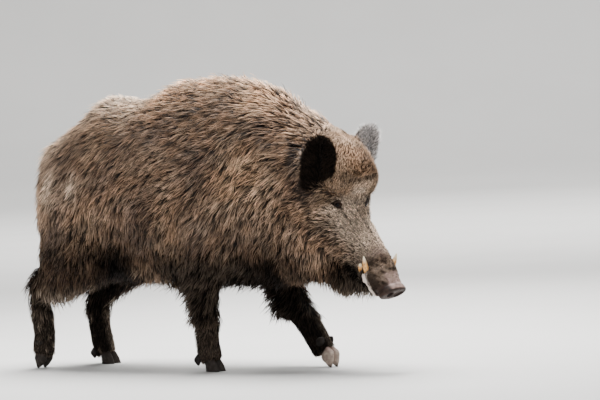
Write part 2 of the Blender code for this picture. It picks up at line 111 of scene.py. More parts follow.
def ear_line(node):
    """The root and the tip of an ear."""
    own = node_points(node)
    low = own[own[:, 2] < np.quantile(own[:, 2], 0.25)].mean(axis=0)
    return low, own[own[:, 2] > np.quantile(own[:, 2], 0.80)].mean(axis=0)


def axis_front():
    """Middle of the front of the head's axis, found from where the eyes sit."""
    middle = np.zeros(3)
    for word in SIDES:
        points = node_points("eye_" + word)
        middle += (points.min(axis=0) + points.max(axis=0)) / 4
    return middle + FORWARD * EYE_PLACE[0] - UP * EYE_PLACE[1]


NOSE = axis_front()


def head_point(behind, above, left):
    return NOSE - FORWARD * behind + UP * above + LEFT * left


def head_coordinates(points):
    """How far rows of points lie behind the nose disc, above the head's axis and to its left."""
    reach = points - NOSE
    return -(reach @ FORWARD), reach @ UP, reach @ LEFT


def disc_coordinates(points):
    """How far rows of points lie behind the face of the nose disc, up along it and to its left."""
    reach = points - head_point(*DISC_SET, 0.0)
    return -(reach @ DISC_FORWARD), reach @ DISC_UP, reach @ LEFT


def ease(values, low, high):
    """0 below low, 1 above high, smooth between them. Runs down where low is over high."""
    share = np.clip((values - low) / (high - low), 0.0, 1.0)
    return share * share * (3 - 2 * share)


def unit(rows):
    return rows / np.maximum(np.linalg.norm(rows, axis=1, keepdims=True), 1e-9)


def waves(points, size, seed, count=5):
    """Smooth wandering value of about -1 to 1 at rows of points, with bumps of about that size."""
    chance = np.random.default_rng(seed)
    total = np.zeros(len(points))
    for _ in range(count):
        heading = chance.normal(size=3)
        heading /= np.linalg.norm(heading)
        pace = math.pi / size * chance.uniform(0.7, 1.4)
        total += np.sin(points @ heading * pace + chance.uniform(0, 2 * math.pi))
    return total / math.sqrt(count)


# Settings a user would change

def length_setting(name, words, size, low=0.001, high=0.2):
    return FloatProperty(name=name, description=words, default=size, min=low, max=high,
                         subtype="DISTANCE", unit="LENGTH")


def colour_setting(name, words, colour):
    return FloatVectorProperty(name=name, description=words, default=colour, min=0.0, max=1.0,
                               size=3, subtype="COLOR")


def angle_setting(name, words, degrees):
    return FloatProperty(name=name, description=words, default=math.radians(degrees), subtype="ANGLE")


def power_setting(name, words, watts):
    return FloatProperty(name=name, description=words, default=watts, min=0.0, subtype="POWER")


class BoarCoatSettings(PropertyGroup):
    mane: length_setting("Mane", "Length of the hair over the neck and shoulders", 0.062)
    flank: length_setting("Flank", "Length of the hair on the body's sides", 0.054)
    fringe: length_setting("Fringe", "Length of the hair hanging behind the elbows and from the belly", 0.070)
    cheek: length_setting("Cheek", "Length of the hair on the jowls", 0.040)
    cap: length_setting("Cap", "Length of the upright hair on the forehead", 0.022)
    face: length_setting("Face", "Length of the hair between eyes and snout", 0.015)
    leg: length_setting("Leg", "Length of the hair on the lower legs", 0.020)
    ear: length_setting("Ear", "Length of the hair on the ears", 0.022)
    lock: length_setting("Lock", "Distance between locks on the flank", 0.0095)
    layers: FloatProperty(name="Layers", description="How many times the tufts cover the body",
                          default=3.3, min=0.5, max=8.0)
    seed: IntProperty(name="Seed", description="Start of the random spread of tufts", default=11, min=0)


class BoarColourSettings(PropertyGroup):
    brown: colour_setting("Brown", "Colour of the flanks", (0.116, 0.076, 0.057))
    tan: colour_setting("Tan", "Colour of the back line, forehead and cheeks", (0.430, 0.290, 0.185))
    grey: colour_setting("Grey", "Colour of the pale patches", (0.500, 0.420, 0.345))
    cool: colour_setting("Cool", "Colour of the pale front of the left ear", (0.460, 0.445, 0.450))
    dark: colour_setting("Dark", "Colour of legs, belly and throat", (0.0042, 0.0033, 0.0029))
    snout: colour_setting("Snout", "Colour of the nose disc", (0.034, 0.017, 0.011))
    lip: colour_setting("Lip", "Colour of the lower lip", (0.720, 0.610, 0.530))
    ivory: colour_setting("Ivory", "Colour of the tusks", (0.780, 0.440, 0.140))
    horn: colour_setting("Horn", "Colour of the claws", (0.010, 0.008, 0.007))
    iris: colour_setting("Iris", "Colour of the eyes", (0.012, 0.006, 0.004))


class BoarStageSettings(PropertyGroup):
    azimuth: angle_setting("Azimuth", "Direction the camera stands in", 38)
    elevation: angle_setting("Elevation", "Height of the camera as an angle", 2)
    roll: angle_setting("Roll", "Turn of the camera about its line of sight", -2.5)
    distance: length_setting("Distance", "From the camera to the point it aims at", 12.0, 1.0, 100.0)
    lens: FloatProperty(name="Lens", description="Focal length in millimetres", default=231.84, min=10)
    key: power_setting("Key", "Power of the overhead softbox", 560.0)
    fill: power_setting("Fill", "Power of the softbox beside the camera", 110.0)
    rim: power_setting("Rim", "Power of the softbox behind", 140.0)
    wall: power_setting("Wall", "Power of the light on the wall behind", 2600.0)
    floor: colour_setting("Floor", "Colour of the floor", (0.56, 0.55, 0.53))


class BoarSettings(PropertyGroup):
    coat: PointerProperty(type=BoarCoatSettings)
    colours: PointerProperty(type=BoarColourSettings)
    stage: PointerProperty(type=BoarStageSettings)


# Meshes

def mesh_normals(mesh):
    return read(mesh.vertex_normals, "vector")


def mesh_edges(mesh):
    return read(mesh.edges, "vertices", 2, np.int64)


def set_points(mesh, points):
    mesh.vertices.foreach_set("co", points.ravel())
    mesh.update()


def mesh_of(shape, name):
    """Turns a bmesh into a mesh and frees it."""
    mesh = bpy.data.meshes.new(name)
    shape.to_mesh(mesh)
    shape.free()
    return mesh


def placed(name, data):
    """A new object in the scene."""
    item = bpy.data.objects.new(name, data)
    bpy.context.collection.objects.link(item)
    return item


def face_tree(meshes):
    """A search tree over the faces of meshes, and which mesh each face belongs to."""
    corners, faces, owner = [], [], []
    for index, mesh in enumerate(meshes):
        start = len(corners)
        corners += [vertex.co for vertex in mesh.vertices]
        faces += [tuple(start + corner for corner in face.vertices) for face in mesh.polygons]
        owner += [index] * len(mesh.polygons)
    return BVHTree.FromPolygons(corners, faces), owner


def relax(values, edges, share, rounds):
    """Moves each row of values towards the mean of its neighbours, by a share for each row."""
    flat = values.ndim == 1
    values = values.reshape(len(values), -1).copy()
    share = np.broadcast_to(share, len(values))[:, None]
    first, second = edges.T
    count = np.bincount(edges.ravel(), minlength=len(values))[:, None].clip(1)
    for _ in range(rounds):
        total = np.zeros_like(values)
        for index, column in enumerate(values.T):
            total[:, index] = np.bincount(first, column[second], len(values))
            total[:, index] += np.bincount(second, column[first], len(values))
        values += (total / count - values) * share
    return values[:, 0] if flat else values


def set_attribute(mesh, name, values):
    if values.ndim == 1:
        mesh.attributes.new(name, "FLOAT", "POINT").data.foreach_set("value", values.astype(np.float32))
    else:
        vectors = mesh.attributes.new(name, "FLOAT_VECTOR", "POINT")
        vectors.data.foreach_set("vector", values.astype(np.float32).ravel())


def get_attribute(mesh, name):
    layer = mesh.attributes[name]
    if layer.data_type == "FLOAT_VECTOR":
        return read(layer.data, "vector")
    return read(layer.data, "value", 1)


def link(name, mesh, material):
    """A shaded piece on the animal's one body."""
    piece = placed(name, mesh)
    mesh.materials.clear()
    mesh.materials.append(material)
    mesh.shade_smooth()
    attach(piece, "root")
    return piece


def modified(mesh, kind, chosen=(), **settings):
    """The mesh as a modifier leaves it. Where points are chosen by number, it works only on those."""
    piece = placed("modified", mesh)
    modifier = piece.modifiers.new("modifier", kind)
    if len(chosen):
        piece.vertex_groups.new(name="chosen").add([int(index) for index in chosen], 1.0, "REPLACE")
        modifier.vertex_group = "chosen"
    for word, value in settings.items():
        setattr(modifier, word, value)
    bpy.context.view_layer.update()
    made = bpy.data.meshes.new_from_object(piece.evaluated_get(bpy.context.evaluated_depsgraph_get()))
    bpy.data.objects.remove(piece, do_unlink=True)
    return made


# Materials

class Nodes:
    """A short way to write a node tree."""

    def __init__(self, tree):
        self.tree = tree

    def add(self, kind, **values):
        node = self.tree.nodes.new(kind)
        for name, value in values.items():
            setattr(node, name, value)
        return node

    def join(self, source, target):
        self.tree.links.new(source, target)

    def put(self, target, value):
        if isinstance(value, bpy.types.NodeSocket):
            self.join(value, target)
        else:
            target.default_value = value

    def fill(self, node, **values):
        """Sets or joins inputs by name, written with a low line for each space."""
        for name, value in values.items():
            self.put(node.inputs[name.replace("_", " ")], value)

    def mix(self, share, first, second, blend="MIX"):
        node = self.add("ShaderNodeMix", data_type="RGBA", blend_type=blend)
        for index, value in ((0, share), (6, first), (7, second)):
            self.put(node.inputs[index], value)
        return node.outputs[2]

    def math(self, kind, first, second):
        node = self.add("ShaderNodeMath", operation=kind)
        self.put(node.inputs[0], first)
        self.put(node.inputs[1], second)
        return node.outputs[0]

    def attribute(self, name):
        return self.add("ShaderNodeAttribute", attribute_name=name).outputs["Fac"]

    def noise(self, place, scale, detail=3.0, rough=0.5):
        node = self.add("ShaderNodeTexNoise")
        self.fill(node, Vector=place, Scale=scale, Detail=detail, Roughness=rough)
        return node.outputs["Fac"]

    def ramp(self, value, low, high, start=0.0, end=1.0):
        node = self.add("ShaderNodeMapRange", interpolation_type="SMOOTHSTEP")
        for index, number in enumerate((value, low, high, start, end)):
            self.put(node.inputs[index], number)
        return node.outputs[0]

    def place(self):
        return self.add("ShaderNodeTexCoord").outputs["Object"]

    def shade(self, shader, colour, roughness, gloss=0.5):
        """Finishes a shader. Each value is a number or a socket."""
        self.fill(shader, Base_Color=colour, Roughness=roughness, Specular_IOR_Level=gloss)

    def bump(self, shader, height, strength, distance):
        node = self.add("ShaderNodeBump")
        self.fill(node, Height=height, Strength=strength, Distance=distance)
        self.join(node.outputs["Normal"], shader.inputs["Normal"])


def rgba(colour):
    return (*colour, 1.0)


def markings_group():
    """Colours of skin and coat: where the animal is brown, tan, grey or dark, with fine mottling."""
    if "Boar markings" in bpy.data.node_groups:
        return bpy.data.node_groups["Boar markings"]
    colours = bpy.context.scene.boar.colours
    tree = bpy.data.node_groups.new("Boar markings", "ShaderNodeTree")
    for word in ("Brown", "Tan", "Grey", "Cool", "Dark"):
        socket = tree.interface.new_socket(word, in_out="INPUT", socket_type="NodeSocketColor")
        socket.default_value = rgba(getattr(colours, word.lower()))
    mottling = tree.interface.new_socket("Mottling", in_out="INPUT", socket_type="NodeSocketFloat")
    mottling.default_value = 0.35
    tree.interface.new_socket("Colour", in_out="OUTPUT", socket_type="NodeSocketColor")
    nodes = Nodes(tree)
    entry = nodes.add("NodeGroupInput").outputs
    place = nodes.place()
    broad = nodes.ramp(nodes.noise(place, 9.0), 0.35, 0.68)
    fine = nodes.ramp(nodes.noise(place, 60.0, 2.0), 0.3, 0.7)
    warmth = nodes.ramp(nodes.noise(place, 16.0), 0.36, 0.64)
    hue = nodes.mix(warmth, (0.97, 1.00, 1.03, 1), (1.05, 0.98, 0.92, 1))
    colour = nodes.mix(nodes.attribute("tan"), entry["Brown"], entry["Tan"])
    colour = nodes.mix(1.0, colour, hue, "MULTIPLY")
    colour = nodes.mix(nodes.attribute("grey"), colour, entry["Grey"])
    blotched = nodes.math("MULTIPLY", broad, entry["Mottling"])
    colour = nodes.mix(blotched, colour, (0.40, 0.36, 0.34, 1), "MULTIPLY")
    colour = nodes.mix(nodes.math("MULTIPLY", fine, 0.18), colour, (0.55, 0.52, 0.50, 1), "MULTIPLY")
    colour = nodes.mix(nodes.attribute("cool"), colour, entry["Cool"])
    colour = nodes.mix(nodes.attribute("dark"), colour, entry["Dark"])
    nodes.fill(nodes.add("NodeGroupOutput"), Colour=colour)
    return tree


def new_material(name):
    made = bpy.data.materials.new(name)
    made.use_nodes = True
    tree = made.node_tree
    return made, Nodes(tree), tree.nodes["Principled BSDF"]


def markings(nodes):
    """The markings group, put into a material."""
    return nodes.add("ShaderNodeGroup", node_tree=markings_group()).outputs["Colour"]


def coat_material():
    """Hair darker towards its roots, partly its own colour and partly painted shade between the hairs, which
    shows in the gaps between locks; lighter towards the tips.
    """
    made, nodes, shader = new_material("boar coat")
    # Painted shade: colour darkens towards each tuft's root, standing for the shade between hairs and locks,
    # over the hair's own darker base
    tips = nodes.ramp(nodes.attribute("along"), 0.28, 1.0)
    rooted = nodes.mix(tips, (0.055, 0.046, 0.043, 1), (2.75, 2.62, 2.44, 1))
    colour = nodes.mix(1.0, markings(nodes), rooted, "MULTIPLY")
    tone = nodes.math("ADD", nodes.attribute("tone"), 1.0)
    brightness = nodes.add("ShaderNodeCombineColor")
    nodes.fill(brightness, Red=tone, Green=tone, Blue=tone)
    colour = nodes.mix(1.0, colour, brightness.outputs[0], "MULTIPLY")
    gloss = nodes.ramp(nodes.attribute("dark"), 0.2, 0.95, 0.30, 0.03)
    nodes.shade(shader, colour, 0.62, gloss)
    return made


def skin_material():
    """Hide between the hairs, darkened by painted shade where hair covers it, short hair as fine streaks on
    the face, the bare disc, lip and lids, and painted shade in the nostrils and the mouth's slit.
    """
    settings = bpy.context.scene.boar.colours
    made, nodes, shader = new_material("boar skin")
    place = nodes.place()
    turned = nodes.add("ShaderNodeMapping", vector_type="TEXTURE")
    nodes.fill(turned, Vector=place, Rotation=(0.0, PITCH, TURN), Scale=(6.0, 1.0, 1.0))
    streaks = nodes.noise(turned.outputs["Vector"], 420.0, 2.0)
    pores = nodes.noise(place, 900.0, 2.0)
    bare = nodes.attribute("bare")
    lip = nodes.attribute("lip")
    # Painted shade where long hair covers the skin, and the dark skin ring around each eye
    shade = nodes.mix(nodes.attribute("covered"), (1.0, 1.0, 1.0, 1), (0.16, 0.14, 0.13, 1))
    hide = nodes.mix(1.0, markings(nodes), shade, "MULTIPLY")
    hide = nodes.mix(nodes.ramp(streaks, 0.35, 0.65, 0.0, 0.5), hide, (0.35, 0.32, 0.30, 1), "MULTIPLY")
    blotch = nodes.ramp(nodes.noise(place, 70.0, 4.0), 0.35, 0.7)
    disc = nodes.mix(blotch, rgba(settings.snout), (0.016, 0.010, 0.008, 1))
    colour = nodes.mix(bare, hide, disc)
    colour = nodes.mix(nodes.attribute("pink"), colour, (0.300, 0.205, 0.175, 1))
    colour = nodes.mix(lip, colour, rgba(settings.lip))
    # Painted shade inside the nostrils and the mouth's slit
    colour = nodes.mix(nodes.attribute("pit"), colour, (0.004, 0.003, 0.003, 1))
    wet = nodes.math("MAXIMUM", bare, lip)
    nodes.shade(shader, colour, nodes.ramp(wet, 0.0, 1.0, 0.85, 0.55), nodes.ramp(wet, 0.0, 1.0, 0.06, 0.18))
    height = nodes.math("ADD", nodes.math("MULTIPLY", streaks, 0.7), nodes.math("MULTIPLY", pores, 0.3))
    nodes.bump(shader, height, 0.6, 0.0012)
    return made


# Skin

WELD = 0.00005          # points closer than this are one
GAP_BRIDGE = 0.0005     # how far each node of flesh grows to reach its neighbours
VOXEL = 0.006           # grid size of the merged skin
KEPT_SHARE = 0.45       # share of the merged skin's triangles that stay away from the head
SINK_STEPS = 3          # steps in which the skin sinks to the roots of the hair
# Balls that fill the hollows for eyes and tusks: behind, above, sideways and radius
HOLLOWS = ((*EYE_PLACE, EYE_RADIUS + 0.0015), (0.084, -0.018, 0.040, 0.012), (0.116, -0.020, 0.044, 0.012))


def merged_flesh():
    """The nodes of flesh as one closed mesh, with the hollows cut for eyes and tusks filled."""
    shape = bmesh.new()
    for node in FLESH:
        shape.from_mesh(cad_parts[node].data)
    bmesh.ops.remove_doubles(shape, verts=shape.verts, dist=WELD)
    bmesh.ops.recalc_face_normals(shape, faces=shape.faces)
    shape.normal_update()
    for vertex in shape.verts:
        vertex.co += vertex.normal * GAP_BRIDGE
    for behind, above, outward, radius in HOLLOWS:
        for side in SIDES.values():
            spot = Matrix.Translation(head_point(behind, above, outward * side))
            bmesh.ops.create_icosphere(shape, subdivisions=3, radius=radius, matrix=spot)
    return modified(mesh_of(shape, "flesh"), "REMESH", voxel_size=VOXEL)


def refine(mesh, wanted):
    """Halves the edges whose points all lie where wanted says so."""
    inside = wanted(mesh_points(mesh))
    shape = bmesh.new()
    shape.from_mesh(mesh)
    edges = [edge for edge in shape.edges if all(inside[vertex.index] for vertex in edge.verts)]
    bmesh.ops.subdivide_edges(shape, edges=edges, cuts=1, use_grid_fill=True)
    bmesh.ops.triangulate(shape, faces=[face for face in shape.faces if len(face.verts) > 4])
    shape.to_mesh(mesh)
    shape.free()


def near_head(points):
    """The head without what lies behind its cheeks."""
    behind, above, _ = head_coordinates(points)
    return (behind < 0.43) & (above < 0.215) & (points[:, 0] > CAD_BOX[1].x - 0.40)


def near_front(points):
    """The part of the head with short hair, where the skin's own shape shows."""
    behind, above, _ = head_coordinates(points)
    return near_head(points) & (behind < 0.35) & (above > -0.12)


def near_face(points):
    """The nose disc, the lips and the eyes with what is around them."""
    behind, above, _ = head_coordinates(points)
    lips = (behind < 0.110) & (np.abs(above + 0.02) < 0.035)
    return ((behind < 0.040) | lips) & near_head(points) | near_eyes(points, 0.034)


def near_eyes(points, reach=0.022):
    behind, above, outward = EYE_PLACE
    eyes = [head_point(behind, above, outward * side) for side in SIDES.values()]
    return np.any([np.linalg.norm(points - eye, axis=1) < reach for eye in eyes], axis=0)


def thinned(mesh, spared):
    """The mesh with fewer triangles everywhere but where spared says so."""
    return modified(mesh, "DECIMATE", np.nonzero(~spared(mesh_points(mesh)))[0], ratio=KEPT_SHARE)


def nearest_nodes(points):
    """Which node of flesh each point lies closest to, as an index into FLESH."""
    tree, owner = face_tree([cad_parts[node].data for node in FLESH])
    return np.array([owner[tree.find_nearest(Vector(point))[2]] for point in points])


def snap_disc(points):
    """Puts the points of the nose disc back on its crisp rim."""
    tree, _ = face_tree([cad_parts["nose"].data])
    for index in np.nonzero((disc_coordinates(points)[0] < 0.018) & near_head(points))[0]:
        spot = tree.find_nearest(Vector(points[index]))[0]
        if (Vector(points[index]) - spot).length < 0.008:
            points[index] = spot
    return points


def eye_frame(side):
    """Middle of an eye, and the ways out of the head, along the lids towards the snout, and across."""
    behind, above, outward = EYE_PLACE
    eye = head_point(behind, above, outward * side)
    out = FORWARD * 0.30 + UP * 0.42 + LEFT * 0.86 * side
    out /= np.linalg.norm(out)
    along = FORWARD + UP * 0.55
    along -= out * (along @ out)
    along /= np.linalg.norm(along)
    return eye, out, along, np.cross(out, along) * side


def shape_lids(points):
    """Lids that hug the eyeballs, open in an almond."""
    half_long, half_high = EYE_OPENING
    for side in SIDES.values():
        eye, out, along, across = eye_frame(side)
        reach = points - eye
        far = np.linalg.norm(reach, axis=1)
        near = np.nonzero((far < EYE_REACH) & (reach @ out > -0.002))[0]
        reach = reach[near]
        heading = reach / far[near][:, None]
        ahead, raised = reach @ along, reach @ across
        almond = (ahead / half_long) ** 2 + (raised / (half_high - 0.0018 * (ahead / half_long))) ** 2
        opening = 1 - ease(almond, 0.85, 1.15)
        lid = ease(almond, 0.9, 1.1) * (1 - ease(almond, 2.0, 6.0))
        fold = np.exp(-((almond - 3.4) / 0.8) ** 2) * (raised > 0)
        target = EYE_RADIUS + 0.0016 - opening * 0.0056
        weight = np.maximum(opening, lid)[:, None]
        moved = reach + (heading * target[:, None] - reach) * weight
        moved -= heading * (fold * 0.0012)[:, None]
        points[near] = eye + moved
    return points


# Lines down the side of the head, as distance behind the disc, height above the axis and half width:
# the white band of the lower lip and, over it, the slit of the mouth
LIP_BAND = [(0.0900, -0.0020, 0.0060), (0.0835, -0.0160, 0.0085), (0.0775, -0.0310, 0.0105),
            (0.0700, -0.0450, 0.0130), (0.0590, -0.0545, 0.0140), (0.0460, -0.0530, 0.0080)]
MOUTH_SLIT = [(0.0900, 0.003, 0.0), (0.0765, -0.013, 0.0), (0.0700, -0.034, 0.0), (0.0520, -0.043, 0.0),
              (0.0330, -0.040, 0.0)]
# Where the snout's skin ends below: distance behind the disc and height above the axis
LIP_EDGE = ((0.030, -0.042), (0.052, -0.0435), (0.069, -0.040), (0.077, -0.015), (0.087, -0.002),
            (0.100, -0.006), (0.200, -0.055))


def lip_line(behind):
    """Height of the snout's lower edge above the head's axis, by distance behind the disc."""
    return np.interp(behind, *zip(*LIP_EDGE))


def outside_line(line, behind, above):
    """How far points lie outside a line drawn down the side of the head."""
    gaps = np.full(len(behind), 1.0)
    steps = np.arange(len(line))
    for step in np.linspace(0, len(line) - 1, 12 * len(line)):
        along, up, half = (np.interp(step, steps, column) for column in zip(*line))
        gaps = np.minimum(gaps, np.hypot(behind - along, above - up) - half)
    return gaps


# How steeply the coat runs down to the rear: x, height, degrees
LIE = [
    (0.08, 0.74, 20), (0.23, 0.66, 57), (0.31, 0.61, 30), (0.38, 0.52, 50), (0.30, 0.45, 60),
    (0.15, 0.86, 28), (0.28, 0.80, 24), (0.06, 0.49, 50), (0.12, 0.42, 42), (0.00, 0.38, 52),
    (0.20, 0.36, 60), (-0.05, 0.64, 18), (-0.11, 0.57, 36), (-0.05, 0.80, 16), (-0.25, 0.80, 18),
    (-0.26, 0.66, 46), (-0.38, 0.80, 30), (-0.41, 0.64, 56), (-0.52, 0.64, 50), (-0.32, 0.49, 70),
    (-0.45, 0.40, 66), (-0.20, 0.44, 74), (-0.10, 0.36, 78), (-0.55, 0.45, 66),
]
LIE_SPREAD = 0.065      # how far each row's angle reaches


def lie_slope(x, z):
    """Smooth angle of the coat on the body's sides, in radians."""
    total = np.zeros(len(x))
    weights = np.full(len(x), 1e-6)
    for row_x, row_z, degrees in LIE:
        weight = np.exp(-((x - row_x) ** 2 + (z - row_z) ** 2) / LIE_SPREAD ** 2) + 1e-5
        total += weight * math.radians(degrees)
        weights += weight
    return total / weights


def blend(base, *steps):
    """Each (mask, value) laid over the values before it."""
    for mask, value in steps:
        base = base + (value - base) * np.clip(mask, 0, 1)
    return base


def turned_lies(lies, *steps):
    """Each (mask, heading) turned into the lie of the coat."""
    for mask, heading in steps:
        mask = np.clip(mask, 0, 1)[:, None]
        heading = np.asarray(heading, float)
        lies = lies * (1 - mask) + heading / np.linalg.norm(heading, axis=-1, keepdims=True) * mask
    return lies


def bump_at(across, along, spot):
    """1 in the middle of a spot, fading with distance. It gives the middle and half the sizes."""
    middle_across, middle_along, half_across, half_along = spot
    return np.exp(-((across - middle_across) / half_across) ** 2 - ((along - middle_along) / half_along) ** 2)


def nostril(high, side):
    """Below 1 inside a nostril, given the height and distance from the middle along the disc."""
    outward = side - 0.0180
    return ((high - 0.003 - outward * 0.5) / 0.0150) ** 2 + (outward / 0.0120) ** 2


def shape_face(points, normals):
    """Nostrils, the groove behind the disc, wrinkles on the snout, and the mouth's slit and lip."""
    behind, above, left = head_coordinates(points)
    deep, high, wide = disc_coordinates(points)
    head = near_head(points)
    side = np.abs(left)
    hole = nostril(high, np.abs(wide))
    pit = np.sqrt(np.clip(1 - hole, 0, 1)) * 0.018
    rim = np.exp(-((hole - 1.5) / 0.45) ** 2) * 0.0012
    philtrum = np.exp(-(wide / 0.003) ** 2) * 0.0012
    sunk = np.where((deep < 0.007) & head, pit - rim + philtrum, 0)
    points = points - DISC_FORWARD * sunk[:, None]
    groove = np.exp(-((deep - 0.0255) / 0.004) ** 2) * 0.0020
    wrinkle = np.sin((behind + side * 0.35) * 2 * math.pi / 0.0115 + 1.6 * waves(points, 0.02, 41)) * 0.0013
    wrinkle *= ease(behind, 0.040, 0.055) * (1 - ease(behind, 0.10, 0.17)) * ease(above, -0.01, 0.03)
    lumps = waves(points, 0.011, 42) * 0.0009 * ease(behind, 0.030, 0.050) * ease(behind, 0.20, 0.15)
    slit = np.exp(-(outside_line(MOUTH_SLIT, behind, above) / 0.0024) ** 2) * 0.0034
    lower = np.exp(-(outside_line(LIP_BAND, behind, above).clip(0) / 0.0035) ** 2) * 0.0042
    change = np.where(head & (deep > DISC_RIM), lower + wrinkle + lumps - groove - slit, 0)
    points = points + normals * change[:, None]
    for sign in SIDES.values():
        root = head_point(0.092, -0.008, 0.051 * sign)
        sheath = np.exp(-(np.linalg.norm(points - root, axis=1) / 0.0145) ** 2) * 0.0125 * head
        points = points + LEFT * sign * sheath[:, None]
    return points


def shrink_ears(points, owner):
    """Draws the skin of each ear in from its edge, to leave room for the hair."""
    for node in EARS:
        low, high = ear_line(node)
        own = np.nonzero(owner == FLESH.index(node))[0]
        rise = high - low
        share = np.clip(((points[own] - low) @ rise) / (rise @ rise), 0, 1)[:, None]
        middle = low + rise * np.minimum(share, 0.62)
        points[own] += (middle - points[own]) * 0.07 * np.clip(share * 2, 0, 1)
    return points


# Spots on the body's sides: x, height, half the length and half the height
BODY_SPOTS = {
    "swirl": (0.285, 0.590, 0.110, 0.130),
    "elbow": (0.015, 0.220, 0.090, 0.140),
    "forearm": (0.150, 0.240, 0.090, 0.090),
    "stifle": (-0.520, 0.330, 0.120, 0.080),
    "groin": (-0.380, 0.270, 0.060, 0.070),
    "tail_base": (-0.700, 0.665, 0.045, 0.045),
    "thigh_edge": (-0.205, 0.310, 0.048, 0.060),
    # painted shade in the hollow between belly and hind leg
    "shaded_hollow": (-0.295, 0.335, 0.080, 0.080),
    "fold": (-0.100, 0.490, 0.050, 0.050),
    "withers": (0.090, 0.830, 0.150, 0.060),
    "shoulder": (0.270, 0.620, 0.130, 0.110),
    "rump": (-0.550, 0.580, 0.100, 0.120),
    "mud_behind": (-0.550, 0.605, 0.026, 0.050),
    "mud_ahead": (-0.432, 0.612, 0.018, 0.045),
}
# Spots on the head's sides: behind the disc, above the axis, half the length and half the height
HEAD_SPOTS = {
    "over_tusk": (0.107, 0.024, 0.018, 0.013),
    "beside_disc": (0.075, 0.022, 0.014, 0.007),
    "over_eye": (0.326, 0.064, 0.022, 0.009),
    "behind_eye": (0.337, 0.049, 0.016, 0.009),
    "pale_cheek": (0.262, 0.024, 0.052, 0.024),
    "wart": (0.162, 0.012, 0.010, 0.008),
    "scuff": (0.148, 0.046, 0.024, 0.016),
}
PALE_WAY = np.array([0.62, -0.79, 0.0])      # the way that the left ear's pale front faces


